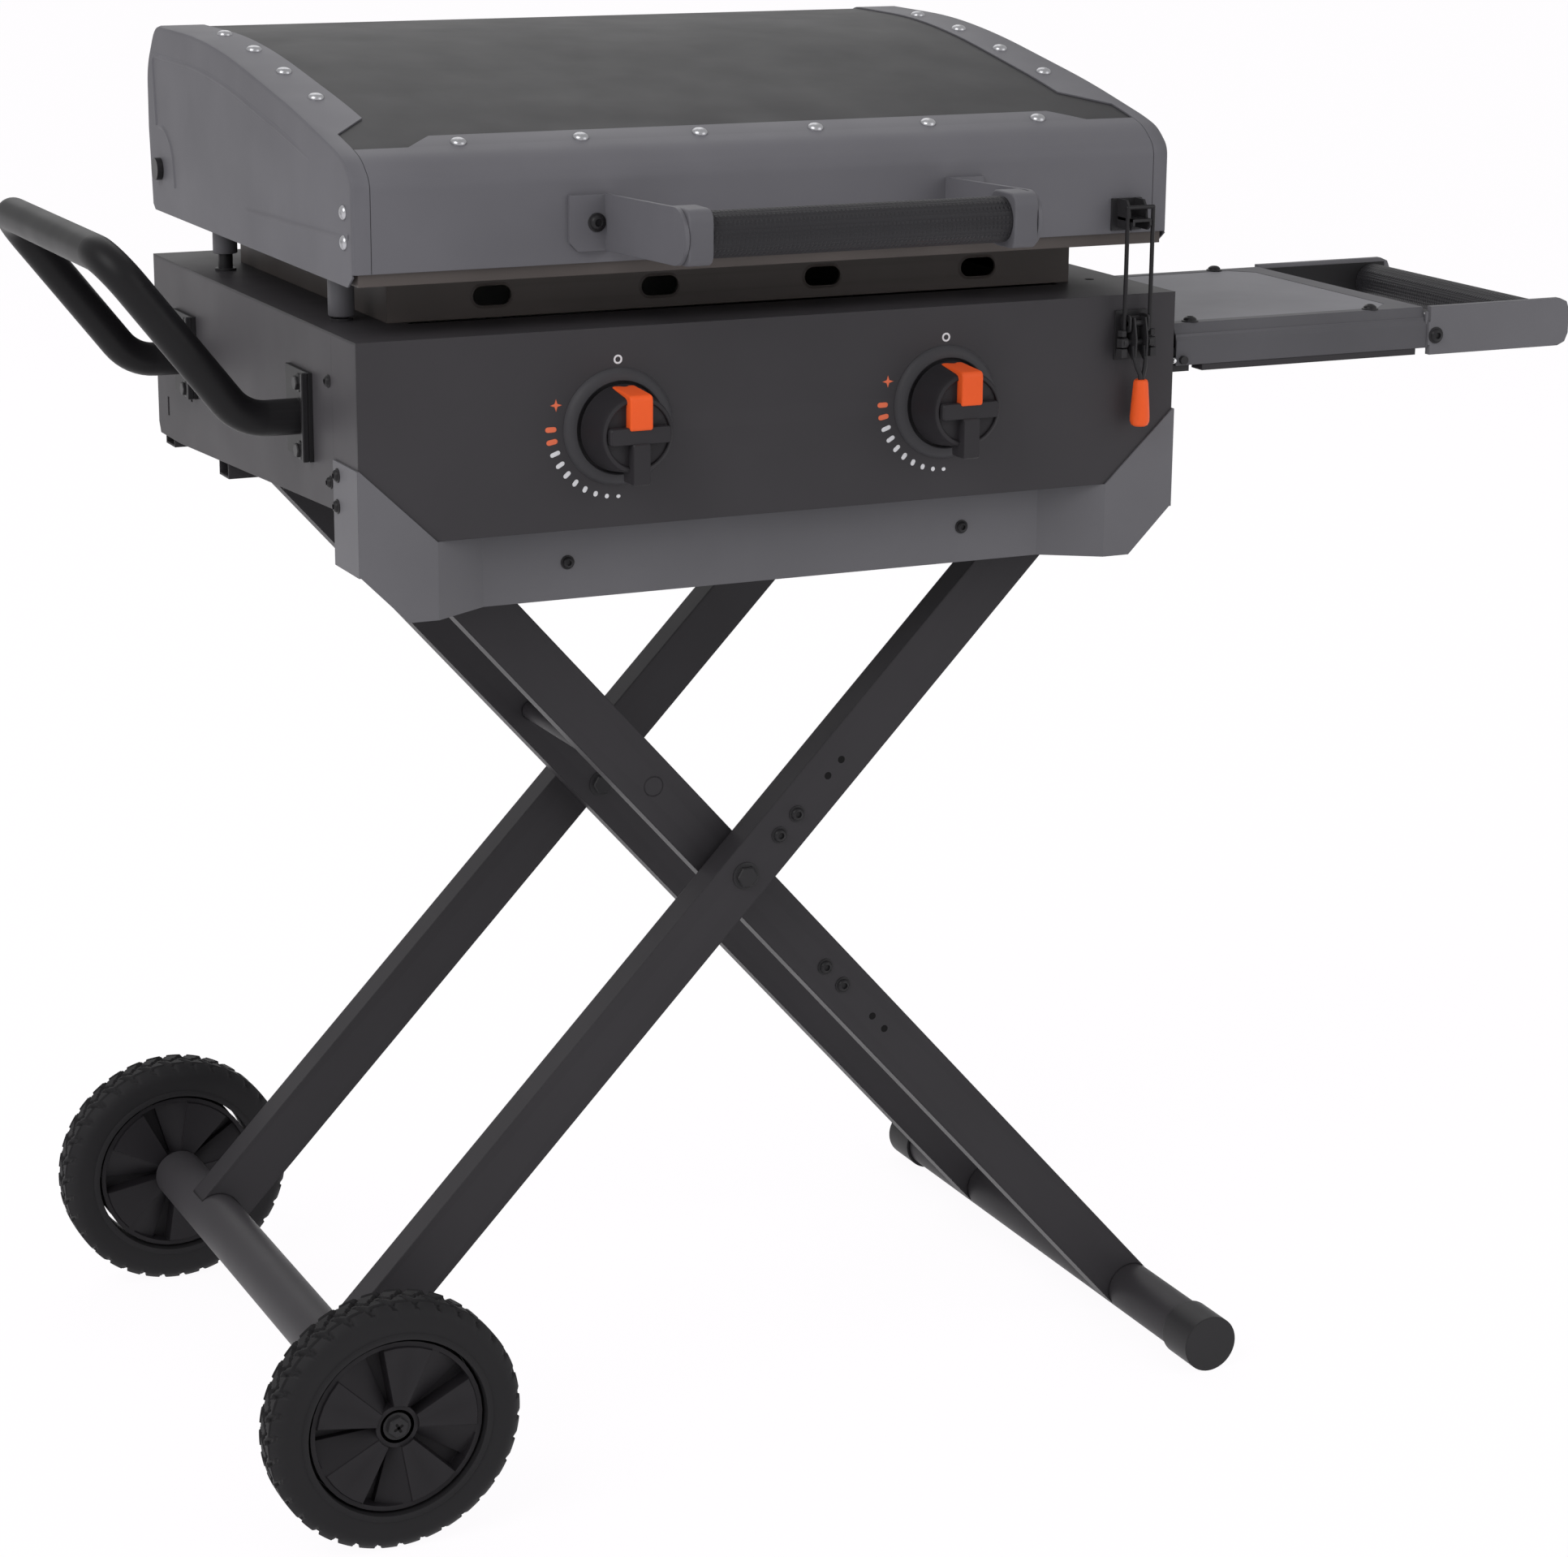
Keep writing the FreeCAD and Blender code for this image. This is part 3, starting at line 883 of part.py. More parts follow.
TOP_LINE = [("strip_y", "strip_z", "0", "-1"), ("fore_y", "fore_z", "0", "-1"),
            ("mid_y", "mid_z", "0", "-1"), ("crest_y", "crest_z", "0", "-1"),
            ("heel_y", "heel_z", "-0.5", "-1"),
            ("nape_y", "nape_z", "-1", "-0.2"), ("rear_y", "rear_base", "-1", "0")]
BEFORE_BEND = ("strip_y - strip_gap", "strip_z - strip_gap * (strip_z - brow_z) / (strip_y - brow_y)",
               "0", "-1")
FRONT_LINE = [("hood_face", "hood_base", "1", "0"), ("hood_face", "face_top", "1", "-0.4"),
              ("brow_y", "brow_z", "0.2", "-1"), BEFORE_BEND]
MORE_LINE = [BEFORE_BEND, TOP_LINE[0],
             ("strip_y + strip_more", "strip_z + strip_more * (fore_z - strip_z) / (fore_y - strip_y)",
              "0", "-1")]
INSIDE = ("-hood_half + cover", "2 * (hood_half - cover)")

UNDER_BROW = ("brow_y + tuck_under",
              "brow_z + tuck_under * (strip_z - brow_z) / (strip_y - brow_y) - seat", "0", "-1")
under_line = [UNDER_BROW] + TOP_LINE
node(prism("top_sheet", "YZ_Plane", band(under_line, "cover", "2 * cover"), *INSIDE), "hood_top")
face_sheet = prism("face_sheet", "YZ_Plane", band(FRONT_LINE, "0", "cover"), *INSIDE)
face_more = prism("face_more", "YZ_Plane", band(MORE_LINE, "0", "cover"), "-hood_half + strip_in",
                  "2 * (hood_half - strip_in)")
node(fuse("face", face_sheet, face_more), "hood_front")

END_OUTLINE = [("hood_face", "hood_side_base + side_fore_cut"), ("hood_face", "face_top"),
               ("brow_y", "brow_z"), ("strip_y", "strip_z"), ("fore_y", "fore_z"), ("mid_y", "mid_z"),
               ("crest_y", "crest_z"),
               ("heel_y", "heel_z"), ("nape_y", "nape_z"), ("rear_y", "tuck_z"),
               ("rear_y - side_aft_bend", "hood_side_base + side_aft_rise"),
               ("rear_y - side_aft_cut", "hood_side_base"),
               ("hood_face + side_fore_cut", "hood_side_base")]
for side, wall_start, band_start in (
        ("left", "-hood_half", "-hood_half"),
        ("right", "hood_half - cover", "hood_half - band_wide")):
    end_wall = prism("end_wall_" + side, "YZ_Plane", END_OUTLINE, wall_start, "cover",
                     [("hinge_y", "hinge_z", "hinge_r + fit")])
    end_band = prism("end_band_" + side, "YZ_Plane", band(TOP_LINE, "0", "cover"), band_start,
                     "band_wide")
    node(fuse("hood_end_" + side, end_wall, end_band), "hood_end_" + side)

rivets = []


def top_rivet(name, x, y, low, high):
    """Rivet that stands square on the sloping top, between two bends of it."""
    slope = "(%s_z - %s_z) / (%s_y - %s_y)" % (high, low, high, low)
    rivet = doc.addObject("Part::Cylinder", name)
    bind(rivet, Radius="rivet_r", Height="rivet_high")
    turn(rivet, (1, 0, 0), "atan(%s)" % slope)
    rivets.append(place(rivet, x, y, "%s_z + (%s - %s_y) * %s" % (low, y, low, slope)))


# Each rivet of a band: the two bends that it lies between, and its share of the way
BAND_RIVETS = (("crest", "heel", "0.11"), ("mid", "crest", "0.26"), ("fore", "mid", "0.67"),
               ("fore", "mid", "0.19"))
FRONT_RIVETS = 6
for side, sign in (("left", "-1"), ("right", "1")):
    across = sign + " * (hood_half - rivet_in)"
    for i, (low, high, share) in enumerate(BAND_RIVETS):
        along = "(%s_y + %s * (%s_y - %s_y))" % (low, share, high, low)
        top_rivet("band_rivet_%s_%d" % (side, i), across, along, low, high)
    for i, level in enumerate(("hood_base + side_rivet_low", "hood_base + side_rivet_high")):
        start = sign + " * hood_half" if sign == "1" else "-hood_half - rivet_high"
        rivets.append(rod("side_rivet_%s_%d" % (side, i), "x", start, "hood_face + side_rivet_in", level,
                          "rivet_high", "rivet_r"))
for i in range(FRONT_RIVETS):
    top_rivet("front_rivet_%d" % i, "(%d) * hood_half / %d" % (2 * i - FRONT_RIVETS + 1, FRONT_RIVETS + 1),
              "(strip_y + rivet_r + rivet_back)", "strip", "fore")
washers = []
pins = []
for side, sign in (("left", -1), ("right", 1)):
    washer_start = "plate_half" if sign > 0 else "-hood_half + cover + fit"
    ring = rod("washer_disc_" + side, "x", washer_start, "hinge_y", "hinge_z",
               "hood_half - cover - plate_half - fit", "hinge_head_r")
    eye = rod("washer_eye_" + side, "x", washer_start + " - over", "hinge_y", "hinge_z",
              "hood_half - plate_half + 2 * over", "hinge_r + fit")
    washers.append(cut("washer_" + side, ring, eye))
    shank_start = "plate_half - wall_thick - hinge_head" if sign > 0 else "-hood_half - fit"
    shank = rod("pin_shank_" + side, "x", shank_start, "hinge_y", "hinge_z",
                "hood_half - plate_half + wall_thick + hinge_head + fit", "hinge_r")
    head_start = "hood_half + fit" if sign > 0 else "-hood_half - fit - hinge_head"
    head = rod("pin_head_" + side, "x", head_start, "hinge_y", "hinge_z", "hinge_head", "hinge_head_r")
    nut_start = ("plate_half - wall_thick - hinge_head" if sign > 0
                 else "-plate_half + wall_thick")
    nut = rod("pin_nut_" + side, "x", nut_start, "hinge_y", "hinge_z", "hinge_head", "hinge_head_r")
    pins.append(fuse("pin_" + side, shank, head, nut))
node(group("pin_group", *pins, *washers), "hood_hinge_pins")

# Hood handle
arms = []
caps = []
handle_bolts = []
for side, sign in (("left", -1), ("right", 1)):
    arm_start = "arm_x" if sign > 0 else "-arm_x - arm_thick"
    arm = prism("arm_plate_" + side, "YZ_Plane",
                [("hood_face", "arm_low"), ("hood_face", "arm_high"),
                 ("-grip_y", "grip_z + cap_r + arm_edge"),
                 ("-grip_y", "grip_z - cap_r - arm_edge")], arm_start, "arm_thick")
    tip = rod("arm_tip_" + side, "x", arm_start, "-grip_y", "grip_z", "arm_thick", "cap_r + arm_edge")
    foot = prism("arm_foot_" + side, "XZ_Plane",
                 [("%d * arm_x" % sign, "arm_low"), ("%d * (arm_foot - arm_corner)" % sign, "arm_low"),
                  ("%d * arm_foot" % sign, "arm_low + arm_corner"), ("%d * arm_foot" % sign, "arm_high"),
                  ("%d * arm_x" % sign, "arm_high")],
                 "hood_face - arm_thick", "arm_thick")
    arms.append(fuse("handle_arm_" + side, arm, tip, foot))
    cap_start = "grip_half" if sign > 0 else "-arm_x"
    caps.append(rod("grip_cap_" + side, "x", cap_start, "-grip_y", "grip_z", "arm_x - grip_half", "cap_r"))
    handle_bolts.append(rod("handle_bolt_" + side, "y", "%d * (arm_x + handle_bolt_in)" % sign,
                            "hood_face - arm_thick - bolt_high", "grip_z - handle_bolt_down",
                            "bolt_high", "bolt_r"))
node(group("arm_group", *arms), "hood_handle_brackets")
grip = rod("grip_bar", "x", "-grip_half", "-grip_y", "grip_z", "2 * grip_half", "grip_r")
node(group("grip_group", grip, *caps), "hood_handle_grip")
node(group("hood_fastener_group", *rivets, *handle_bolts), "hood_fasteners")

# Draw latch: base on the panel, lever with a grip, wire and a catch on the hood
WIRE_Z = "(latch_pivot_z - latch_throw)"
base_plate = box("latch_plate", ("latch_x - latch_half - latch_side", "latch_x + latch_half + latch_side"),
                 ("-runner_thick", "0"), ("latch_low", "latch_high"))
latch_ears = []
for end, near in (("left", "latch_x - latch_ear - gauge"), ("right", "latch_x + latch_ear")):
    ear = box("latch_ear_" + end, (near, near + " + gauge"),
              ("-latch_pivot_y - latch_ear_out", "-runner_thick"),
              ("latch_pivot_z - latch_ear_half", "latch_pivot_z + latch_ear_half"))
    ear_bore = rod("latch_ear_bore_" + end, "x", near + " - over", "-latch_pivot_y", "latch_pivot_z",
                   "gauge + 2 * over", "latch_pin_r + fit")
    latch_ears.append(cut("latch_ear_cut_" + end, ear, ear_bore))
lever_pin = rod("lever_pin", "x", "latch_x - latch_ear - gauge", "-latch_pivot_y", "latch_pivot_z",
                "2 * (latch_ear + gauge)", "latch_pin_r")
node(group("latch_base_group", base_plate, *latch_ears, lever_pin), "latch_base")

lever_profile = [("-latch_pivot_y + lever_back", "latch_pivot_z + lever_top"),
                 ("-latch_pivot_y - lever_nose", "latch_pivot_z + lever_top"),
                 ("-latch_pivot_y - lever_belly", WIRE_Z + " - lever_knee"),
                 ("-latch_pivot_y - lever_nose", "latch_grip_top"),
                 ("-latch_pivot_y + lever_toe", "latch_grip_top"),
                 ("-latch_pivot_y + lever_back", WIRE_Z + " - lever_knee")]
lever = prism("lever_body", "YZ_Plane", lever_profile, "latch_x - lever_half", "2 * lever_half",
              [("-latch_pivot_y", "latch_pivot_z", "latch_pin_r + fit"),
               ("-latch_pivot_y", WIRE_Z, "latch_pin_r + fit")])
STALK_PLACE = ("latch_x + stalk_side", "-latch_pivot_y - stalk_out")
stalk = rod("lever_stalk", "z", *STALK_PLACE, "latch_grip_base + stalk_low",
            "latch_grip_top - latch_grip_base - stalk_low + over", "stalk_r")
node(fuse("lever_all", lever, stalk), "latch_lever")
latch_grip = cone("latch_grip_body", "z", *STALK_PLACE, "latch_grip_base",
                  "latch_grip_top - latch_grip_base", "latch_grip_r", "latch_grip_r - latch_grip_taper")
grip_hole = rod("latch_grip_hole", "z", *STALK_PLACE, "latch_grip_base + stalk_low - seat",
                "latch_grip_top - latch_grip_base", "stalk_r + seat")
node(cut("latch_grip_cut", latch_grip, grip_hole), "latch_grip")

trunnion = rod("trunnion_bar", "x", "latch_x - latch_half - wire_pin_over", "-latch_pivot_y", WIRE_Z,
               "2 * (latch_half + wire_pin_over)", "latch_pin_r")
node(group("trunnion_group", trunnion), "latch_wire_pin")
wires = []
for sign in (-1, 1):
    eye_bar = rod("wire_eye_%d" % sign, "x", "latch_x + (%d) * latch_half - wire_r - seat" % sign,
                  "-latch_pivot_y", WIRE_Z, "2 * wire_r + 2 * seat", "wire_eye_r")
    stem = rod("wire_stem_%d" % sign, "z", "latch_x + (%d) * latch_half" % sign, "-latch_pivot_y",
               WIRE_Z, "wire_top - %s" % WIRE_Z, "wire_r")
    joint_ball = doc.addObject("Part::Sphere", "wire_corner_%d" % (sign + 1))
    bind(joint_ball, Radius="wire_r")
    place(joint_ball, "latch_x + (%d) * latch_half" % sign, "-latch_pivot_y", "wire_top")
    wires += [eye_bar, stem, joint_ball]
wires.append(rod("wire_top_bar", "x", "latch_x - latch_half", "-latch_pivot_y", "wire_top",
                 "2 * latch_half", "wire_r"))
wire_eyes = rod("wire_eye_bore", "x", "latch_x - 2 * latch_half", "-latch_pivot_y", WIRE_Z,
                "4 * latch_half", "latch_pin_r + fit")
node(cut("wire_cut", fuse("wire_body", *wires), wire_eyes), "latch_wire")

CATCH_X = ("latch_x - latch_half + wire_r + catch_side", "latch_x + latch_half - wire_r - catch_side")
NOSE_TOP = "wire_top - wire_r - catch_clear"
catch_plate = box("catch_plate", ("latch_x - catch_left", "latch_x + catch_right"),
                  ("hood_face - runner_thick", "hood_face"), ("catch_low", "catch_high"))
catch_shelf = box("catch_shelf", CATCH_X, ("-latch_pivot_y - catch_nose", "hood_face - runner_thick / 2"),
                  (NOSE_TOP + " - catch_thick", NOSE_TOP))
node(fuse("catch_body", catch_plate, catch_shelf), "hood_catch")


# Side handle: a bent tube, made from straight runs and tangent arcs
def bent_path(points, radii):
    """Wire through the points, with an arc of the given radius at each inner point."""
    edges = []
    start = points[0]
    for before, corner, after, radius in zip(points, points[1:], points[2:], radii):
        back = (before - corner).normalize()
        on = (after - corner).normalize()
        half = back.getAngle(on) / 2
        setback = radius / math.tan(half)
        first = corner + back * setback
        last = corner + on * setback
        bisector = (back + on).normalize()
        middle = corner + bisector * (radius / math.sin(half) - radius)
        edges.append(Part.LineSegment(start, first).toShape())
        edges.append(Part.Arc(first, middle, last).toShape())
        start = last
    edges.append(Part.LineSegment(start, points[-1]).toShape())
    return Part.Wire(edges)


def bent_tube(path, outer_radius, inner_radius):
    """Hollow tube along a path."""
    start = path.Edges[0]
    origin = start.valueAt(start.FirstParameter)
    heading = start.tangentAt(start.FirstParameter)
    shells = []
    for radius in (outer_radius, inner_radius):
        section = Part.Wire([Part.makeCircle(radius, origin, heading)])
        shells.append(path.makePipeShell([section], True, False))
    return shells[0].cut(shells[1])


rise = math.radians(number("tube_rise"))
elbow_x = -number("body_half") - number("elbow_out")
end_x = -number("body_half") - number("tube_plate")
peak_x = elbow_x - number("tube_slant") * math.cos(rise)
arm_z = number("body_base") + number("tube_up")
peak_z = arm_z + number("tube_slant") * math.sin(rise)
front_y = number("tube_front")
back_y = front_y + number("tube_span")
handle_points = [FreeCAD.Vector(end_x, front_y, arm_z), FreeCAD.Vector(elbow_x, front_y, arm_z),
                 FreeCAD.Vector(peak_x, front_y, peak_z), FreeCAD.Vector(peak_x, back_y, peak_z),
                 FreeCAD.Vector(elbow_x, back_y, arm_z), FreeCAD.Vector(end_x, back_y, arm_z)]
bends = [number("elbow_r"), number("corner_r"), number("corner_r"), number("elbow_r")]
handle_tube = doc.addObject("Part::Feature", "handle_tube")
handle_tube.Shape = bent_tube(bent_path(handle_points, bends), number("tube_r"),
                              number("tube_r") - number("tube_wall"))

tube_plates = []
side_bolts = []
for end, mid in (("front", "tube_front"), ("back", "tube_back")):
    tube_plates.append(box("tube_plate_" + end, ("-body_half - tube_plate", "-body_half"),
                           (mid + " - tube_plate_half", mid + " + tube_plate_half"),
                           ("tube_plate_low", "tube_plate_high")))
    for level in ("tube_plate_low + tube_bolt_low", "tube_plate_high - tube_bolt_high"):
        side_bolts.append(rod("tube_bolt_%s_%d" % (end, len(side_bolts)), "x",
                              "-body_half - tube_plate - bolt_high", mid + " - tube_bolt_fore", level,
                              "bolt_high", "bolt_r"))
node(group("side_handle_group", handle_tube, *tube_plates), "side_handle")

trim_bolts = []
for side, sign in (("left", -1), ("right", 1)):
    face = "body_half + gauge" if sign > 0 else "-body_half - gauge - bolt_high"
    wall_face = "body_half" if sign > 0 else "-body_half - bolt_high"
    for i, z in enumerate(("trim_peak - trim_bolt_high", "trim_peak - trim_bolt_low")):
        trim_bolts.append(rod("trim_bolt_%s_%d" % (side, i), "x", face, "trim_wrap - trim_bolt_in", z,
                              "bolt_high", "small_bolt_r"))
    if sign < 0:
        for i, z in enumerate(("body_top - side_screw_high", "side_dip + side_screw_low")):
            side_bolts.append(rod("side_screw_%s_%d" % (side, i), "x", wall_face,
                                  "side_seam + side_screw_in", z, "bolt_high", "small_bolt_r"))
    trim_bolts.append(rod("trim_screw_" + side, "y", "%d * trim_screw_x" % sign, "trim_depth - bolt_high",
                          "trim_base + trim_screw_up", "bolt_high", "small_bolt_r"))
node(group("body_bolt_group", *trim_bolts, *side_bolts), "body_bolts")

# Folding shelf on the right
shelf_section = [("shelf_front", "shelf_base"), ("shelf_front", "shelf_top - 2 * shelf_bevel"),
                 ("shelf_front + shelf_bevel", "shelf_top"), ("shelf_back - shelf_bevel", "shelf_top"),
                 ("shelf_back", "shelf_top - 2 * shelf_bevel"), ("shelf_back", "shelf_base")]
slab = prism("shelf_slab", "YZ_Plane", shelf_section, "shelf_left", "shelf_right - shelf_left")
recess = box("shelf_recess", ("shelf_left - over", "shelf_right - 2 * shelf_rim"),
             ("shelf_front + shelf_bevel + shelf_rim", "shelf_back - shelf_bevel - shelf_rim"),
             ("shelf_top - shelf_sink", "shelf_top + over"))
hollow = box("shelf_hollow", ("shelf_left - over", "shelf_right - gauge"),
             ("shelf_front + gauge", "shelf_back - gauge"),
             ("shelf_base - over", "shelf_top - 2 * shelf_bevel"))
hollow_top = box("shelf_hollow_top", ("shelf_left - over", "shelf_right - gauge"),
                 ("shelf_front + shelf_bevel + gauge", "shelf_back - shelf_bevel - gauge"),
                 ("shelf_base", "shelf_top - shelf_sink - gauge"))
hinge_hole = rod("shelf_hinge_hole", "y", "shelf_pin_x", "0", "shelf_pin_z", "shelf_back + over",
                 "shelf_pin_r + fit")
node(cut("shelf_cut", slab, recess, hollow, hollow_top, hinge_hole), "shelf_tray")

RAIL_Z = ("shelf_base - rail_high", "shelf_base")
rails = [box("shelf_rail_" + end, ("shelf_pin_x + rail_inset", "rail_right"), limits, RAIL_Z)
         for end, limits in (("front", ("shelf_front", "shelf_front + rail_wide")),
                             ("back", ("shelf_back - rail_wide", "shelf_back")))]
node(group("shelf_rail_group", *rails), "shelf_rails")

shelf_brackets = []
shelf_pins = []
EAR_FAR = "shelf_front + gauge + shelf_play"
EAR_NEAR = "shelf_back - gauge - shelf_play"
for end, near, far, plate_near, plate_far in (
        ("front", EAR_FAR, EAR_FAR + " + bracket_thick", EAR_FAR, EAR_FAR + " + bracket_long"),
        ("back", EAR_NEAR + " - bracket_thick", EAR_NEAR, EAR_NEAR + " - bracket_long", EAR_NEAR)):
    back_plate = box("shelf_plate_" + end, ("body_half", "body_half + bracket_thick"),
                     (plate_near, plate_far),
                     ("shelf_pin_z - ear_half", "shelf_pin_z + ear_half + bracket_rise"))
    ear = box("shelf_ear_" + end, ("body_half", "shelf_pin_x + ear_reach"), (near, far),
              ("shelf_pin_z - ear_half", "shelf_pin_z + ear_half"))
    ear_hole = rod("shelf_ear_hole_" + end, "y", "shelf_pin_x", near + " - over", "shelf_pin_z",
                   "bracket_thick + 2 * over", "shelf_pin_r + fit")
    shelf_brackets.append(cut("shelf_bracket_" + end, fuse("shelf_bracket_body_" + end, back_plate, ear),
                              ear_hole))
    pin_near = "shelf_front - pin_over" if end == "front" else near + " - pin_over"
    shelf_pins.append(rod("shelf_pin_" + end, "y", "shelf_pin_x", pin_near, "shelf_pin_z",
                          "gauge + shelf_play + bracket_thick + 2 * pin_over", "shelf_pin_r"))
node(group("shelf_hinge_group", *shelf_brackets, *shelf_pins), "shelf_hinges")

arms = []
for end, near, far in (
        ("front", "shelf_front - side_arm_proud", "shelf_front - side_arm_proud + side_arm_thick"),
        ("back", "shelf_back + side_arm_proud - side_arm_thick", "shelf_back + side_arm_proud")):
    low, high = "side_arm_low", "side_arm_high"
    turn_in = "side_arm_round * 0.3"
    right = "side_arm_right"
    arm_plate = prism("side_arm_" + end, "XZ_Plane",
                      [("side_arm_left", low), (right + " - side_arm_round", low),
                       (right + " - " + turn_in, low + " + " + turn_in), (right, low + " + side_arm_round"),
                       (right, high + " - side_arm_round"),
                       (right + " - " + turn_in, high + " - " + turn_in),
                       (right + " - side_arm_round", high), ("side_arm_left", high)],
                      near, "side_arm_thick")
    tongue = box("side_tongue_" + end, ("shelf_right + seat", "side_arm_left + over"), (near, far),
                 ("shelf_base + tongue_up", "shelf_top - tongue_down"))
    arms.append(fuse("side_arm_body_" + end, arm_plate, tongue))
node(group("side_arm_group", *arms), "shelf_handle_arms")
side_grip = rod("side_grip", "y", "side_grip_x", "shelf_front - side_arm_proud + side_arm_thick",
                "side_grip_z", "shelf_back - shelf_front + 2 * side_arm_proud - 2 * side_arm_thick",
                "side_grip_r")
node(group("side_grip_group", side_grip), "shelf_grip")

shelf_bolts = [rod("shelf_bolt_%d_%d" % (i, j), "z", x, y, "shelf_top", "bolt_high", "bolt_r")
               for i, x in enumerate(("shelf_left + shelf_bolt_near", "shelf_right - shelf_bolt_far"))
               for j, y in enumerate(("shelf_front + shelf_bolt_in",
                                        "shelf_back - shelf_bolt_in"))]
shelf_bolts.append(rod("side_arm_bolt", "y", "side_arm_left + arm_bolt_in",
                       "shelf_front - side_arm_proud - bolt_high", "side_arm_low + arm_bolt_up",
                       "bolt_high", "bolt_r"))
node(group("shelf_bolt_group", *shelf_bolts), "shelf_bolts")

# Scissor legs. Each leg is a box tube that is drawn flat along X and then turned.
FRONT_FOOT = "(front_leg + leg_deep + leg_gap)"
REAR_WHEEL = "(rear_leg + leg_deep + leg_gap)"


def leg(name, low, high, slope, holes, tube_radius):
    """Box tube from -low to high along its own line through the scissor pivot.

    Its lower end is hollowed to sit on the cross tube that it is welded to.
    """
    half = "leg_wide / 2"
    core = "leg_wide / 2 - leg_wall"
    depth = ("0", "leg_deep")
    shell = box(name + "_shell", ("-(%s)" % low, high), depth, ("-" + half, half))
    tip = rod(name + "_tip", "y", high, "0", "0", "leg_deep", half)
    bore_box = box(name + "_bore", ("-(%s) - over" % low, high), ("leg_wall", "leg_deep - leg_wall"),
                   ("-(%s)" % core, core))
    saddle = rod(name + "_saddle", "y", "-(%s)" % low, "-over", "0", "leg_deep + 2 * over",
                 tube_radius + " + seat")
    tools = [rod("%s_hole_%d" % (name, i), "y", along, "-over", "0", "leg_deep + 2 * over", radius)
             for i, (along, radius) in enumerate(holes)]
    body = cut(name, fuse(name + "_solid", shell, tip), bore_box, saddle, *tools)
    return turn(body, (0, -1, 0), slope)


FOOT_Z = "(foot_tube_r + cap_wall)"
AXLE_Z = "wheel_r"
FOOT_TOP = "((top_z - pivot_z) / sin(foot_slope))"
FOOT_LOW = "((pivot_z - %s) / sin(foot_slope))" % FOOT_Z
WHEEL_LOW = "((pivot_z - %s) / sin(wheel_slope))" % AXLE_Z
for end, foot_y, wheel_y in (("front", FRONT_FOOT, "front_leg"), ("rear", "rear_leg", REAR_WHEEL)):
    # A foot leg points from its foot up to the left, so its slope is past a right angle.
    foot_leg = leg("foot_leg_" + end, FOOT_LOW, FOOT_TOP, "180 - foot_slope",
                   [("0", "pivot_r + fit"), (FOOT_TOP, "top_rod_r + fit"), ("brace_at", "brace_r + seat")],
                   "foot_tube_r")
    node(foot_leg, "foot_leg_" + end, "pivot_x", foot_y, "pivot_z")
    wheel_leg = leg("wheel_leg_" + end, WHEEL_LOW, "bar_reach", "wheel_slope",
                    [("0", "pivot_r + fit"), ("bar_reach", "bar_r + seat")], "axle_tube_r")
    node(wheel_leg, "wheel_leg_" + end, "pivot_x", wheel_y, "pivot_z")

pivot_bolts = []
spacers = []
for end, first in (("front", "front_leg"), ("rear", "rear_leg")):
    span = "(2 * leg_deep + leg_gap)"
    bolt_bar = rod("pivot_bar_" + end, "y", "pivot_x", "%s - bolt_high" % first, "pivot_z",
                   span + " + 2 * bolt_high", "pivot_r")
    heads = [rod("pivot_head_%s_%d" % (end, i), "y", "pivot_x", y, "pivot_z", "bolt_high", "pivot_head_r")
             for i, y in enumerate((first + " - bolt_high - fit", first + " + %s + fit" % span))]
    pivot_bolts.append(fuse("pivot_bolt_" + end, bolt_bar, *heads))
    disc = rod("spacer_disc_" + end, "y", "pivot_x", first + " + leg_deep + fit", "pivot_z",
               "leg_gap - 2 * fit", "washer_r")
    hole = rod("spacer_hole_" + end, "y", "pivot_x", first + " + leg_deep - over", "pivot_z",
               "leg_gap + 2 * over",
               "pivot_r + fit")
    spacers.append(cut("spacer_" + end, disc, hole))

bar_length = "%s + leg_deep - front_leg + 2 * bar_over" % REAR_WHEEL
catch_bar = cut("catch_bar",
                rod("catch_bar_rod", "y", BAR_X, "front_leg - bar_over", BAR_Z, bar_length, "bar_r"),
                rod("catch_bar_core", "y", BAR_X, "front_leg - bar_over", BAR_Z, bar_length,
                    "bar_r - leg_wall"))
BRACE_X = "(pivot_x - brace_at * cos(foot_slope))"
BRACE_Z = "(pivot_z + brace_at * sin(foot_slope))"
brace = rod("brace_rod", "y", BRACE_X, FRONT_FOOT, BRACE_Z, "rear_leg + leg_deep - %s" % FRONT_FOOT,
            "brace_r")

# Upper pivot of the foot legs, and the hooks that hold the catch bar
leg_brackets = []
for end, foot_y in (("front", FRONT_FOOT), ("rear", "rear_leg")):
    roof = box("leg_roof_" + end, (TOP_X + " - beam_wide / 2", TOP_X + " + beam_wide / 2"),
               (foot_y + " - ear_side - ear_thick", foot_y + " + leg_deep + ear_side + ear_thick"),
               ("beam_base - gauge", "beam_base"))
    plates = [box("leg_plate_%s_%d" % (end, i), (TOP_X + " - bracket_half", TOP_X + " + bracket_half"),
                  limits, ("top_z - bracket_drop", "beam_base - gauge / 2"))
              for i, limits in enumerate(((foot_y + " - ear_side - ear_thick", foot_y + " - ear_side"),
                                          (foot_y + " + leg_deep + ear_side",
                                           foot_y + " + leg_deep + ear_side + ear_thick")))]
    eye = rod("leg_eye_" + end, "y", TOP_X, foot_y + " - leg_deep", "top_z", "3 * leg_deep",
              "top_rod_r + fit")
    leg_brackets.append(cut("leg_bracket_" + end, fuse("leg_bracket_body_" + end, roof, *plates), eye))
rod_ends = "(ear_side + ear_thick + rod_over)"
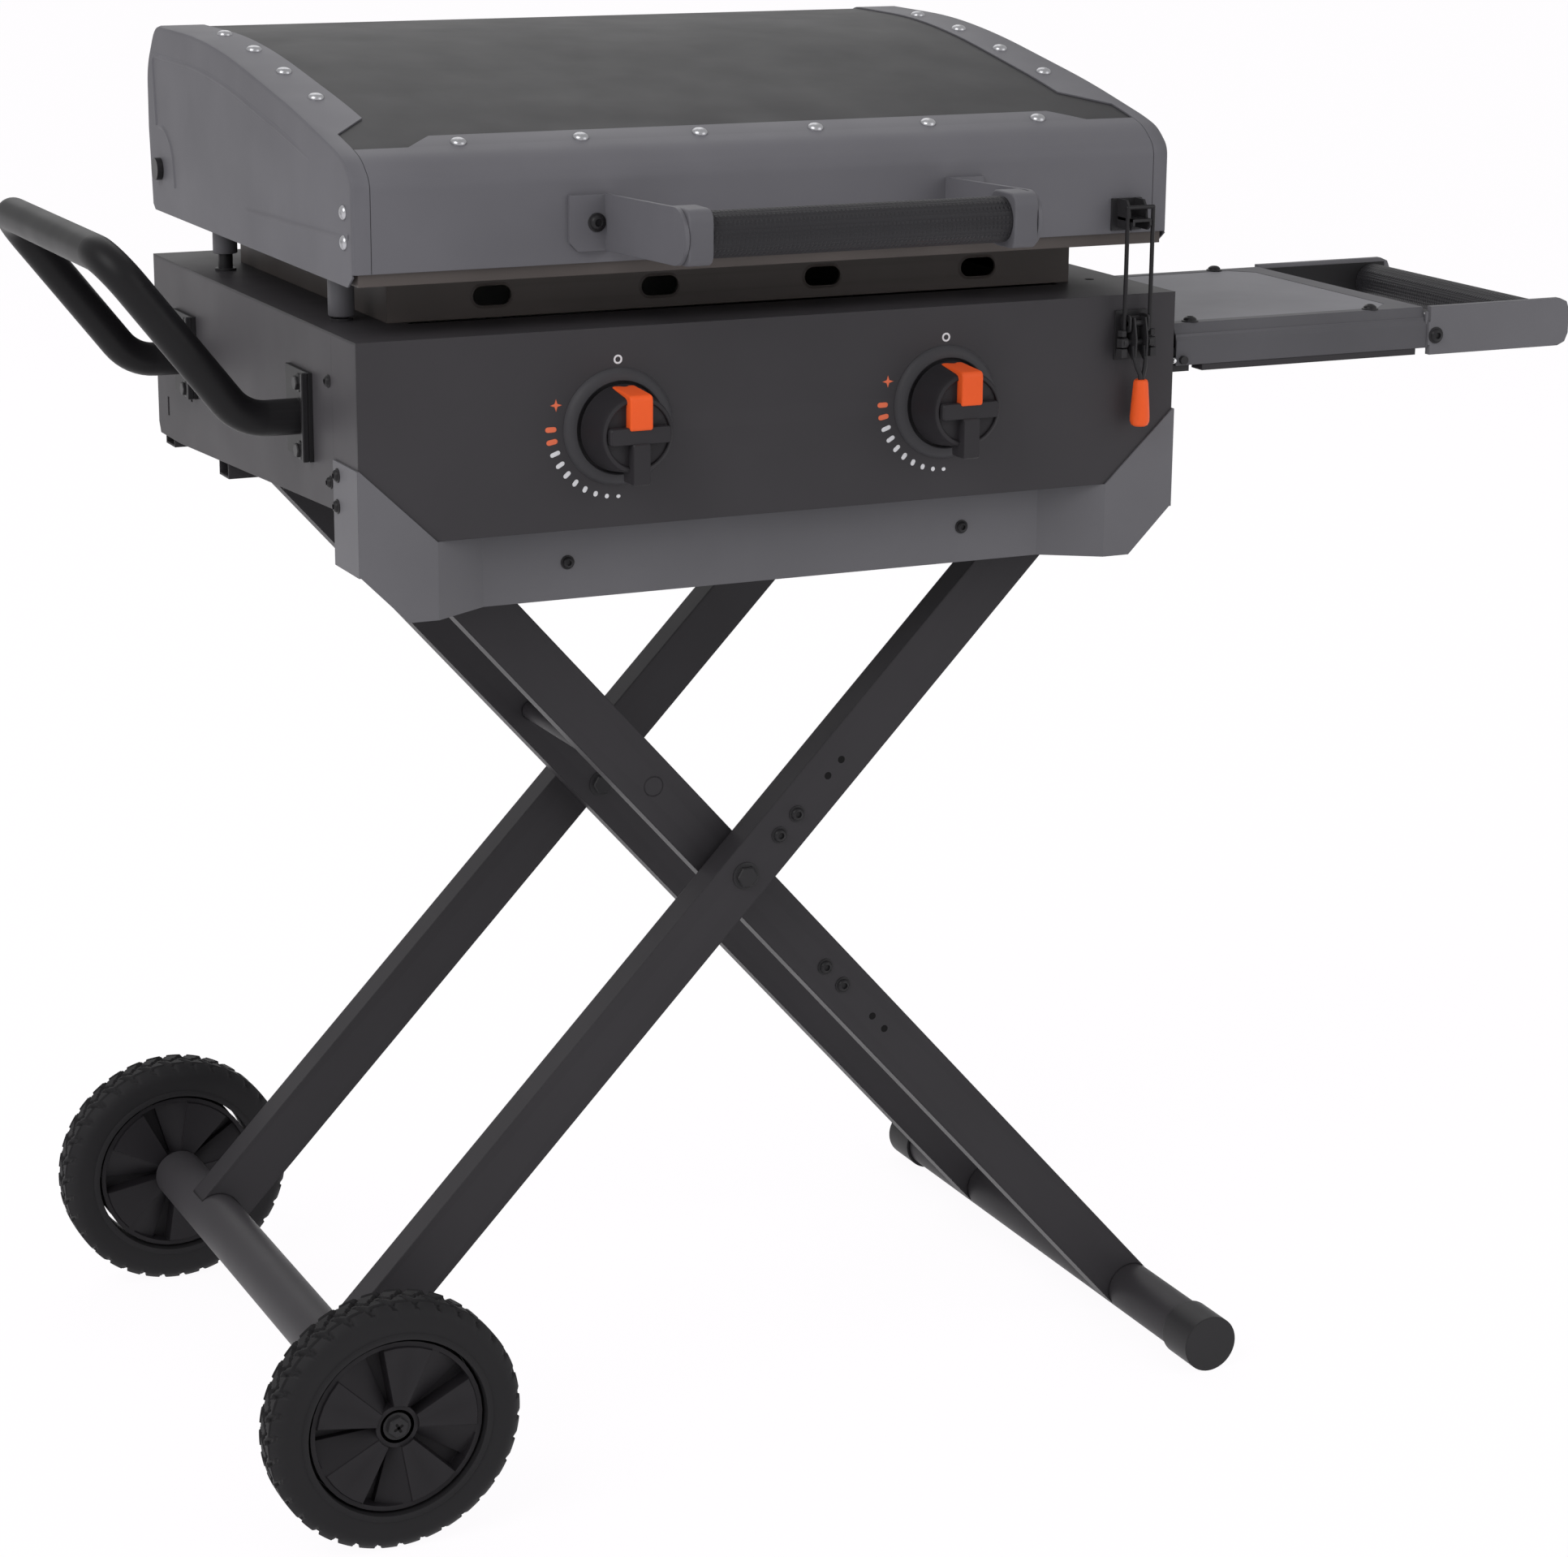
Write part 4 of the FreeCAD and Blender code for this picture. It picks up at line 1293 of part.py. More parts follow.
top_rod = rod("top_rod", "y", TOP_X, "%s - %s" % (FRONT_FOOT, rod_ends), "top_z",
              "rear_leg + leg_deep - %s + 2 * %s" % (FRONT_FOOT, rod_ends), "top_rod_r")
node(group("leg_bracket_group", *leg_brackets, top_rod), "leg_brackets")

hooks = []
SLOT = "(bar_r + hook_clear)"
for end, near in (("front", "%s + leg_deep + hook_gap" % FRONT_FOOT),
                  ("rear", "rear_leg - hook_gap - hook_thick")):
    hook_outline = [(BAR_X + " - beam_wide / 2", "beam_base"),
                    (BAR_X + " - beam_wide / 2", BAR_Z + " - hook_drop"),
                    (BAR_X + " + hook_lip", BAR_Z + " - hook_drop"),
                    (BAR_X + " + hook_lip", "%s - %s" % (BAR_Z, SLOT)),
                    ("%s - %s" % (BAR_X, SLOT), "%s - %s" % (BAR_Z, SLOT)),
                    ("%s - %s" % (BAR_X, SLOT), "%s + %s" % (BAR_Z, SLOT)),
                    (BAR_X + " + beam_wide / 2", "%s + %s" % (BAR_Z, SLOT)),
                    (BAR_X + " + beam_wide / 2", "beam_base")]
    hooks.append(prism("hook_" + end, "XZ_Plane", hook_outline, near, "hook_thick"))
node(group("hook_group", *hooks), "bar_hooks")

leg_bolts = []
for i, along in enumerate(("splice_near", "splice_far")):
    leg_bolts.append(rod("wheel_leg_bolt_%d" % i, "y", "pivot_x + %s * cos(wheel_slope)" % along,
                         "front_leg - bolt_high", "pivot_z + %s * sin(wheel_slope)" % along,
                         "bolt_high", "small_bolt_r"))
node(group("wheel_leg_bolt_group", *leg_bolts), "wheel_leg_bolts")
leg_bolts = []
for i, along in enumerate(("splice_low", "splice_end")):
    leg_bolts.append(rod("foot_leg_bolt_%d" % i, "y", "pivot_x + %s * cos(foot_slope)" % along,
                         FRONT_FOOT + " - bolt_high", "pivot_z - %s * sin(foot_slope)" % along,
                         "bolt_high", "small_bolt_r"))
node(group("foot_leg_bolt_group", *leg_bolts, *pivot_bolts, *spacers), "leg_pivot_bolts")

# Axle, wheels and feet
AXLE_X = "(pivot_x - %s * cos(wheel_slope))" % WHEEL_LOW
FRONT_INNER = "(wheel_wide - wheel_front)"
tube_start = FRONT_INNER + " + axle_slack"
tube_length = "wheel_rear - %s - 2 * axle_slack" % FRONT_INNER
axle_tube = cut("axle_tube_hollow",
                rod("axle_tube_outer", "y", AXLE_X, tube_start, AXLE_Z, tube_length, "axle_tube_r"),
                rod("axle_tube_core", "y", AXLE_X, tube_start + " + axle_plug", AXLE_Z,
                    tube_length + " - 2 * axle_plug", "axle_tube_r - leg_wall"),
                rod("axle_tube_bore", "y", AXLE_X, FRONT_INNER, AXLE_Z, "wheel_rear - " + FRONT_INNER,
                    "axle_r + seat"))
node(group("wheel_leg_tubes_group", axle_tube, catch_bar), "wheel_leg_tubes")
axle_start = "(-wheel_front - axle_slack)"
axle_end = "(wheel_rear + wheel_wide + axle_slack)"
axle_bar = rod("axle_bar", "y", AXLE_X, axle_start + " - axle_nut", AXLE_Z,
               "%s - %s + 2 * axle_nut" % (axle_end, axle_start), "axle_r")
nuts = [rod("axle_nut_%d" % i, "y", AXLE_X, y, AXLE_Z, "axle_nut", "axle_nut_r")
        for i, y in enumerate((axle_start + " - axle_nut", axle_end))]
node(fuse("axle_all", axle_bar, *nuts), "axle")

for end, start, outward in (("front", "-wheel_front", "0"), ("rear", "wheel_rear", "1")):
    rubber = rod("rubber_" + end, "y", AXLE_X, start, AXLE_Z, "wheel_wide", "wheel_r")
    rubber_hole = rod("rubber_hole_" + end, "y", AXLE_X, start + " - over", AXLE_Z,
                      "wheel_wide + 2 * over", "rim_r")
    node(cut("tyre_" + end, rubber, rubber_hole), "tyre_" + end)
    ring_out = rod("rim_outer_" + end, "y", AXLE_X, start + " + rim_inset", AXLE_Z,
                   "wheel_wide - 2 * rim_inset", "rim_r")
    ring_in = rod("rim_inner_" + end, "y", AXLE_X, start, AXLE_Z, "wheel_wide", "rim_r - rim_thick")
    ring = cut("rim_ring_" + end, ring_out, ring_in)
    disc_start = start + " + web_deep" if outward == "0" else start + " + wheel_wide - web_deep - web_thick"
    disc = rod("wheel_disc_" + end, "y", AXLE_X, disc_start, AXLE_Z, "web_thick",
               "rim_r - rim_thick + over")
    boss = rod("wheel_boss_" + end, "y", AXLE_X, start, AXLE_Z, "wheel_wide", "hub_r")
    bore = rod("wheel_bore_" + end, "y", AXLE_X, start + " - over", AXLE_Z, "wheel_wide + 2 * over",
               "axle_r + fit")
    node(cut("hub_" + end, fuse("hub_body_" + end, ring, disc, boss), bore), "wheel_hub_" + end)

FOOT_X = "(pivot_x + %s * cos(foot_slope))" % FOOT_LOW
foot_bar = rod("foot_bar_outer", "y", FOOT_X, "-foot_tube_front + cap_wall", FOOT_Z,
               "foot_tube_front + foot_tube_back - 2 * cap_wall", "foot_tube_r")
foot_core = rod("foot_bar_inner", "y", FOOT_X, "-foot_tube_front", FOOT_Z,
                "foot_tube_front + foot_tube_back", "foot_tube_r - leg_wall")
node(group("foot_leg_tubes_group", cut("foot_tube_cut", foot_bar, foot_core), brace), "foot_leg_tubes")
foot_caps = []
for end, start, hollow_start in (
        ("front", "-foot_tube_front", "-foot_tube_front + cap_wall"),
        ("back", "foot_tube_back - cap_long", "foot_tube_back - cap_long - cap_wall")):
    cap = rod("foot_cap_body_" + end, "y", FOOT_X, start, FOOT_Z, "cap_long", "foot_tube_r + cap_wall")
    cap_hollow = rod("foot_cap_hollow_" + end, "y", FOOT_X, hollow_start, FOOT_Z, "cap_long",
                     "foot_tube_r")
    foot_caps.append(cut("foot_cap_" + end, cap, cap_hollow))
node(group("foot_cap_group", *foot_caps), "foot_caps")

doc.recompute()

# Check everything before anything is written
for obj in doc.Objects:
    if "Invalid" in obj.State or "Error" in obj.State:
        raise RuntimeError("failed: %s %s" % (obj.Name, obj.State))
for obj in NODES:
    if obj.Shape.isNull() or not obj.Shape.isValid() or not obj.Shape.Solids:
        raise RuntimeError("bad shape: " + obj.Label)

whole = FreeCAD.BoundBox()
for obj in NODES:
    whole.add(obj.Shape.BoundBox)
    obj.Shape.exportStep("parts/%s.step" % obj.Label)
print("%d pieces, %s" % (len(NODES), whole))
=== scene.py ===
"""Folding outdoor gas griddle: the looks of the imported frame, for Blender."""

import json
import logging
import math
from collections.abc import Callable, Sequence
from dataclasses import dataclass
from enum import Enum

import bmesh
import bpy
from mathutils import Matrix, Vector

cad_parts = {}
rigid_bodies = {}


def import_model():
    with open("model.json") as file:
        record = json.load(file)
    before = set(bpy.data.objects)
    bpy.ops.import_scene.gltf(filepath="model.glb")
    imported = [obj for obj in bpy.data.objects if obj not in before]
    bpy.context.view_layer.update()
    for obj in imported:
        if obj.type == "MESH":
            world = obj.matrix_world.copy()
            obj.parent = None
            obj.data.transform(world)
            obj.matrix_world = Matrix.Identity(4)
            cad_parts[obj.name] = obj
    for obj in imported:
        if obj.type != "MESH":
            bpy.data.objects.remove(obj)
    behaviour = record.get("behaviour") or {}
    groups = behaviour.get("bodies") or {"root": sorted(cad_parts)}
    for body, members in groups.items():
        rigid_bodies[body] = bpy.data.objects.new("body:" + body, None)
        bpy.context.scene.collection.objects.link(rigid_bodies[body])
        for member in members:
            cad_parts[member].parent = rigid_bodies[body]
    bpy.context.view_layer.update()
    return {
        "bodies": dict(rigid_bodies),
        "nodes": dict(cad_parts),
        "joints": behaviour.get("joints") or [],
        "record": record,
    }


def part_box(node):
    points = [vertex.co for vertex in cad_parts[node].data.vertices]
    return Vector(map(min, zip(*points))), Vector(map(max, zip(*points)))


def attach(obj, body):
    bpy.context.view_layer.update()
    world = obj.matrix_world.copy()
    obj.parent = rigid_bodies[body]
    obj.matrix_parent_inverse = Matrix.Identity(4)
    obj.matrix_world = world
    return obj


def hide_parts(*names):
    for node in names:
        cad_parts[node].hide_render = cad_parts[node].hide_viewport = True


LOG = logging.getLogger("griddle")
MM = 0.001

Flat = tuple[float, float]
Point = tuple[float, float, float]


class Axis(Enum):
    """The axis that a flat outline is pushed along, as the order of its three coordinates."""

    X = (1, 2, 0)
    Y = (0, 2, 1)
    Z = (0, 1, 2)

    def point(self, u: float, v: float, along: float) -> Point:
        """Place of a point that is given in the outline's own plane.

        Args:
            u: First coordinate in the plane.
            v: Second coordinate in the plane.
            along: Coordinate along the axis.

        Returns:
            The point as X, Y and Z.
        """
        place = [0.0, 0.0, 0.0]
        for index, value in zip(self.value, (u, v, along)):
            place[index] = value
        return (place[0], place[1], place[2])


class Stuff(Enum):
    """What a surface is made of."""

    COAT = "painted metal"
    METAL = "bare metal"
    PLASTIC = "moulded plastic"
    RUBBER = "rubber"


def linear(channel: float) -> float:
    """Linear light of one display channel from 0 to 255."""
    value = channel / 255.0
    return value / 12.92 if value <= 0.04045 else ((value + 0.055) / 1.055) ** 2.4


def light(shade: Point) -> tuple[float, float, float, float]:
    """Linear colour with full alpha of a display colour."""
    return (linear(shade[0]), linear(shade[1]), linear(shade[2]), 1.0)


@dataclass(frozen=True)
class Finish:
    """A surface: its shade, sheen, grain and wear.

    Attributes:
        name: Name of the material.
        stuff: What the surface is made of.
        shade: Display colour from 0 to 255.
        slot: Material slot of the record; not used.
        rough: Roughness of the reflection.
        mottle: Share by which the shade wanders over the surface.
        grain: Grain cells per metre.
        relief: Depth of the grain in millimetres.
        wear: Share of paler shade on the edges.
        edge: Radius of the rounded edges in millimetres.
        weave: Cells per metre of a moulded grip pattern, or zero.
        gloss: Strength of the mirror light.
    """

    name: str
    stuff: Stuff
    shade: Point
    slot: str
    rough: float = 0.5
    mottle: float = 0.08
    grain: float = 900.0
    relief: float = 0.03
    wear: float = 0.12
    edge: float = 0.7
    weave: float = 0.0
    gloss: float = 0.18

    def material(self) -> bpy.types.Material:
        """The node material, made on first use.

        Returns:
            The Blender material of this finish.
        """
        known = bpy.data.materials.get(self.name)
        if known is not None:
            return known
        made = bpy.data.materials.new(self.name)
        made.use_nodes = True
        tree = made.node_tree
        tree.nodes.clear()
        out = tree.nodes.new("ShaderNodeOutputMaterial")
        shader = tree.nodes.new("ShaderNodeBsdfPrincipled")
        tree.links.new(shader.outputs["BSDF"], out.inputs["Surface"])
        shader.inputs["Metallic"].default_value = 1.0 if self.stuff is Stuff.METAL else 0.0
        shader.inputs["IOR"].default_value = 1.5
        shader.inputs["Specular IOR Level"].default_value = self.gloss
        place = tree.nodes.new("ShaderNodeTexCoord").outputs["Object"]
        self._colour(tree, shader, place)
        self._relief(tree, shader, place)
        return made

    def _colour(self, tree: bpy.types.NodeTree, shader: bpy.types.Node,
                place: bpy.types.NodeSocket) -> None:
        """Mottled shade with paler edges.

        Args:
            tree: Node tree of the material.
            shader: Its shader.
            place: Socket with the place on the object.
        """
        cloud = tree.nodes.new("ShaderNodeTexNoise")
        cloud.inputs["Scale"].default_value = 7.0
        cloud.inputs["Detail"].default_value = 4.0
        tree.links.new(place, cloud.inputs["Vector"])
        base = light(self.shade)
        ramp = tree.nodes.new("ShaderNodeValToRGB")
        for stop, at, factor in zip(ramp.color_ramp.elements, (0.35, 0.65),
                                    (1.0 - self.mottle, 1.0 + self.mottle)):
            stop.position = at
            stop.color = (base[0] * factor, base[1] * factor, base[2] * factor, 1.0)
        tree.links.new(cloud.outputs["Fac"], ramp.inputs["Fac"])
        geometry = tree.nodes.new("ShaderNodeNewGeometry")
        rim = tree.nodes.new("ShaderNodeMapRange")
        rim.inputs["From Min"].default_value = 0.52
        rim.inputs["From Max"].default_value = 0.60
        rim.inputs["To Max"].default_value = self.wear
        tree.links.new(geometry.outputs["Pointiness"], rim.inputs["Value"])
        mix = tree.nodes.new("ShaderNodeMix")
        mix.data_type = "RGBA"
        mix.inputs["B"].default_value = (min(1.0, base[0] * 2.2 + 0.05),
                                         min(1.0, base[1] * 2.2 + 0.05),
                                         min(1.0, base[2] * 2.2 + 0.05), 1.0)
        tree.links.new(rim.outputs["Result"], mix.inputs["Factor"])
        tree.links.new(ramp.outputs["Color"], mix.inputs["A"])
        tree.links.new(mix.outputs["Result"], shader.inputs["Base Color"])

    def _relief(self, tree: bpy.types.NodeTree, shader: bpy.types.Node,
                place: bpy.types.NodeSocket) -> None:
        """Grain, uneven sheen and rounded edges.

        Args:
            tree: Node tree of the material.
            shader: Its shader.
            place: Socket with the place on the object.
        """
        grain = tree.nodes.new("ShaderNodeTexNoise")
        grain.inputs["Scale"].default_value = self.grain
        grain.inputs["Detail"].default_value = 2.0
        vector = place
        if self.stuff is Stuff.METAL:
            stretch = tree.nodes.new("ShaderNodeMapping")
            stretch.inputs["Scale"].default_value = (0.06, 1.0, 1.0)
            tree.links.new(place, stretch.inputs["Vector"])
            vector = stretch.outputs["Vector"]
        tree.links.new(vector, grain.inputs["Vector"])
        smear = tree.nodes.new("ShaderNodeTexNoise")
        smear.inputs["Scale"].default_value = 22.0
        smear.inputs["Detail"].default_value = 5.0
        tree.links.new(place, smear.inputs["Vector"])
        sheen = tree.nodes.new("ShaderNodeMapRange")
        sheen.inputs["To Min"].default_value = max(0.05, self.rough - 0.07)
        sheen.inputs["To Max"].default_value = min(1.0, self.rough + 0.07)
        tree.links.new(smear.outputs["Fac"], sheen.inputs["Value"])
        tree.links.new(sheen.outputs["Result"], shader.inputs["Roughness"])
        height = grain.outputs["Fac"]
        if self.weave > 0.0:
            cells = tree.nodes.new("ShaderNodeTexVoronoi")
            cells.feature = "DISTANCE_TO_EDGE"
            cells.inputs["Scale"].default_value = self.weave
            cells.inputs["Randomness"].default_value = 0.0
            tree.links.new(place, cells.inputs["Vector"])
            height = cells.outputs["Distance"]
        round_edge = tree.nodes.new("ShaderNodeBevel")
        round_edge.samples = 4
        round_edge.inputs["Radius"].default_value = self.edge * MM
        bump = tree.nodes.new("ShaderNodeBump")
        bump.inputs["Strength"].default_value = 1.0 if self.weave > 0.0 else 0.35
        bump.inputs["Distance"].default_value = self.relief * MM
        tree.links.new(height, bump.inputs["Height"])
        tree.links.new(round_edge.outputs["Normal"], bump.inputs["Normal"])
        tree.links.new(bump.outputs["Normal"], shader.inputs["Normal"])


GREY_COAT = Finish("grey powder coat", Stuff.COAT, (94, 93, 97), "body_grey", rough=0.5)
SIDE_COAT = Finish("side powder coat", Stuff.COAT, (64, 62, 65), "body_grey", rough=0.5)
HOOD_COAT = Finish("hood powder coat", Stuff.COAT, (93, 92, 97), "hood_grey", rough=0.5)
LID_COAT = Finish("lid black coat", Stuff.COAT, (40, 39, 41), "panel_dark", rough=0.5,
                  gloss=0.12)
PANEL_COAT = Finish("panel black coat", Stuff.COAT, (50, 48, 51), "panel_dark", rough=0.5)
LEG_COAT = Finish("leg black coat", Stuff.COAT, (44, 42, 45), "leg_black", rough=0.5, edge=2.0)
TUBE_COAT = Finish("tube black coat", Stuff.COAT, (23, 22, 24), "tube_black", rough=0.42)
AXLE_COAT = Finish("axle tube coat", Stuff.COAT, (55, 53, 56), "leg_black", rough=0.48)
BOLT_COAT = Finish("bolt black oxide", Stuff.COAT, (36, 35, 37), "bolt_black", rough=0.35,
                   edge=0.4)
SEASONED = Finish("seasoned steel", Stuff.COAT, (74, 68, 66), "plate_steel", rough=0.4,
                  mottle=0.18)
ZINC = Finish("zinc sheet", Stuff.METAL, (150, 150, 150), "galvanised", rough=0.4, gloss=0.5)
BRASS = Finish("valve brass", Stuff.METAL, (190, 160, 90), "brass", rough=0.3, gloss=0.5)
BRIGHT = Finish("bright pin", Stuff.METAL, (200, 200, 202), "steel_pin", rough=0.25, edge=0.3,
                gloss=0.5)
RIVET = Finish("rivet head", Stuff.METAL, (176, 176, 180), "bolt_black", rough=0.3, edge=0.3,
               gloss=0.5)
SHELF_COAT = Finish("shelf top coat", Stuff.COAT, (110, 109, 114), "body_grey", rough=0.5)
TRAY_COAT = Finish("shelf edge coat", Stuff.COAT, (82, 81, 85), "body_grey", rough=0.5)
DARK_PLASTIC = Finish("dark plastic", Stuff.PLASTIC, (41, 39, 42), "dark_plastic", rough=0.42)
BEZEL_PLASTIC = Finish("bezel plastic", Stuff.PLASTIC, (60, 59, 62), "dark_plastic", rough=0.5)
GRIP_PLASTIC = Finish("grip plastic", Stuff.PLASTIC, (43, 42, 45), "grip_plastic", rough=0.5,
                      weave=330.0, relief=1.6)
ORANGE = Finish("orange plastic", Stuff.PLASTIC, (238, 92, 40), "orange", rough=0.4, mottle=0.04,
                wear=0.05)
SALMON = Finish("orange print", Stuff.COAT, (232, 116, 82), "orange", rough=0.5, mottle=0.03,
                wear=0.0)
WHITE = Finish("white print", Stuff.COAT, (225, 224, 228), "galvanised", rough=0.5, mottle=0.03,
               wear=0.0)
# Near-black for holes and recesses: painted shade that stands in for the dark inside them, not a colour
# of the object.
HOLE_SHADE = Finish("painted hole shade", Stuff.PLASTIC, (14, 13, 14), "dark_plastic", rough=0.8, wear=0.0)
TYRE = Finish("tyre rubber", Stuff.RUBBER, (33, 32, 34), "tyre", rough=0.6, relief=0.06, wear=0.06)
WHEEL = Finish("wheel plastic", Stuff.PLASTIC, (33, 31, 34), "wheel_plastic", rough=0.5)
CAP_RUBBER = Finish("cap rubber", Stuff.RUBBER, (36, 35, 37), "rubber", rough=0.45, edge=1.5)


def rounded(corners: Sequence[Flat], setbacks: Sequence[float], steps: int = 6) -> list[Flat]:
    """Line through the corners with a smooth bend at each inner one.

    Args:
        corners: Corners of the line.
        setbacks: Distance from each inner corner at which its bend starts.
        steps: Short straights in each bend.

    Returns:
        The points of the rounded line.
    """
    line = [corners[0]]
    for before, corner, after, setback in zip(corners, corners[1:], corners[2:], setbacks):
        middle = Vector(corner)
        start = middle + (Vector(before) - middle).normalized() * setback
        stop = middle + (Vector(after) - middle).normalized() * setback
        for i in range(steps + 1):
            t = i / steps
            bend = start.lerp(middle, t).lerp(middle.lerp(stop, t), t)
            line.append((bend.x, bend.y))
    line.append(corners[-1])
    return line


def ring_of(corners: Sequence[Flat], radius: float, steps: int = 4) -> list[Flat]:
    """Closed outline with every corner rounded by about one radius."""
    count = len(corners)
    closed = [corners[-1], *corners, corners[0]]
    line = rounded(closed, [radius] * count, steps)
    return line[1:-1]


def circle(u: float, v: float, radius: float, steps: int = 32, start: float = 0.0) -> list[Flat]:
    """Points round a circle, from an angle in radians."""
    turn = 2.0 * math.pi / steps
    return [(u + radius * math.cos(start + i * turn), v + radius * math.sin(start + i * turn))
            for i in range(steps)]


def pill(u: float, v: float, wide: float, high: float, angle: float = 0.0,
         steps: int = 8) -> list[Flat]:
    """Outline of a slot with round ends, turned by an angle in radians."""
    radius = min(wide, high) / 2.0
    reach = (max(wide, high) / 2.0 - radius)
    lean = angle if wide >= high else angle + math.pi / 2.0
    outline = []
    for side in (1.0, -1.0):
        base = lean if side > 0.0 else lean + math.pi
        for i in range(steps + 1):
            at = base - math.pi / 2.0 + math.pi * i / steps
            outline.append((u + side * reach * math.cos(lean) + radius * math.cos(at),
                            v + side * reach * math.sin(lean) + radius * math.sin(at)))
    return outline


def moved_in(line: Sequence[Flat], distance: float) -> list[Flat]:
    """The line moved to its right-hand side by a distance."""
    shifted = []
    for i, point in enumerate(line):
        before = Vector(line[max(i - 1, 0)])
        after = Vector(line[min(i + 1, len(line) - 1)])
        heading = (after - before).normalized()
        shifted.append((point[0] + heading.y * distance, point[1] - heading.x * distance))
    return shifted


class Form:
    """A mesh in the making, in millimetres from the body's middle, the panel face and the ground."""

    def __init__(self) -> None:
        """Start with nothing."""
        self.mesh = bmesh.new()

    def skin(self, rings: Sequence[Sequence[Point]], around: bool = True, ends: bool = True,
             loop: bool = False) -> "Form":
        """Surface through rings that have the same number of points.

        Args:
            rings: The rings, in order.
            around: Whether each ring closes on itself.
            ends: Whether the first and the last ring are filled.
            loop: Whether the last ring joins the first.

        Returns:
            This form.
        """
        rows = [[self.mesh.verts.new(point) for point in ring] for ring in rings]
        count = len(rows[0])
        for i in range(len(rows) if loop else len(rows) - 1):
            near, far = rows[i], rows[(i + 1) % len(rows)]
            for j in range(count if around else count - 1):
                k = (j + 1) % count
                self.mesh.faces.new((near[j], near[k], far[k], far[j]))
        if ends and not loop:
            self.mesh.faces.new(rows[0])
            self.mesh.faces.new(list(reversed(rows[-1])))
        return self

    def plate(self, outline: Sequence[Flat], axis: Axis, start: float, end: float) -> "Form":
        """Flat outline pushed along an axis."""
        return self.skin([[axis.point(u, v, along) for u, v in outline] for along in (start, end)])

    def block(self, x: Flat, y: Flat, z: Flat) -> "Form":
        """Block between three pairs of limits."""
        return self.plate([(x[0], y[0]), (x[1], y[0]), (x[1], y[1]), (x[0], y[1])], Axis.Z, z[0],
                          z[1])

    def taper(self, outline: Sequence[Flat], axis: Axis, start: float, end: float,
              chamfer: float) -> "Form":
        """Flat outline pushed along an axis, with its far edge cut back toward its middle.

        Args:
            outline: Corners of the outline.
            axis: Axis that it is pushed along.
            start: Where it starts.
            end: Where its far face lies.
            chamfer: Depth of the cut, along the axis and across it.

        Returns:
            This form.
        """
        middle = Vector((sum(p[0] for p in outline), sum(p[1] for p in outline))) / len(outline)
        far = [Vector(p) + (middle - Vector(p)).normalized() * chamfer for p in outline]
        cut = chamfer if end > start else -chamfer
        return self.skin([[axis.point(u, v, start) for u, v in outline],
                          [axis.point(u, v, end - cut) for u, v in outline],
                          [axis.point(p.x, p.y, end) for p in far]])

    def lathe(self, profile: Sequence[Flat], axis: Axis, centre: Flat, steps: int = 48,
              loop: bool = False) -> "Form":
        """Round form about an axis.

        Args:
            profile: Pairs of radius and place along the axis.
            axis: The axis.
            centre: Where the axis crosses its plane.
            steps: Points round the axis.
            loop: Whether the profile closes on itself.

        Returns:
            This form.
        """
        rings = [[axis.point(u, v, along) for u,
                  v in circle(centre[0], centre[1], max(radius, 0.01), steps)]
                 for radius, along in profile]
        return self.skin(rings, loop=loop)

    def dome(self, axis: Axis, centre: Flat, base: float, height: float, radius: float) -> "Form":
        """Round head that bulges along an axis."""
        profile = [(radius, base), (radius, base + 0.12 * height),
                   (0.93 * radius, base + 0.45 * height),
                   (0.75 * radius, base + 0.75 * height), (0.45 * radius, base + 0.94 * height),
                   (0.0, base + height)]
        return self.lathe(profile, axis, centre, 24)

    def button_bolt(self, axis: Axis, centre: Flat, base: float, height: float,
                    radius: float) -> "Form":
        """Round bolt head with a washer and a hexagonal socket."""
        self.lathe([(1.2 * radius, base), (1.2 * radius, base + 0.18 * height),
                    (1.12 * radius, base + 0.26 * height), (0.98 * radius, base + 0.28 * height),
                    (0.9 * radius, base + 0.62 * height), (0.68 * radius, base + 0.9 * height),
                    (0.5 * radius, base + height), (0.46 * radius, base + 0.98 * height),
                    (0.44 * radius, base + 0.5 * height), (0.0, base + 0.5 * height)], axis,
                   centre, 24)
        return self

    def hex_bolt(self, axis: Axis, centre: Flat, base: float, height: float,
                 radius: float) -> "Form":
        """Six-sided bolt head on a round flange."""
        self.lathe([(1.25 * radius, base), (1.25 * radius, base + 0.15 * height),
                    (1.05 * radius, base + 0.3 * height), (0.0, base + 0.3 * height)], axis,
                   centre, 24)
        return self.taper(circle(centre[0], centre[1], radius, 6), axis, base + 0.2 * height,
                          base + height, 0.12 * radius)

    def tube(self, path: Sequence[Point], radius: float, sides: int = 20,
             loop: bool = False) -> "Form":
        """Round bar along a path.

        Args:
            path: Points of the middle line.
            radius: Radius of the bar.
            sides: Points round it.
            loop: Whether the path closes on itself.

        Returns:
            This form.
        """
        points = [Vector(point) for point in path]
        rings = []
        across = None
        for i, point in enumerate(points):
            if loop:
                heading = points[(i + 1) % len(points)] - points[i - 1]
            else:
                heading = points[min(i + 1, len(points) - 1)] - points[max(i - 1, 0)]
            heading.normalize()
            if across is None:
                across = heading.orthogonal().normalized()
            across = (across - heading * across.dot(heading)).normalized()
            up = heading.cross(across)
            rings.append([tuple(point + across * (radius * math.cos(a)) + up * (radius * math.sin(a)))
                          for a in (2.0 * math.pi * j / sides for j in range(sides))])
        return self.skin(rings, loop=loop)

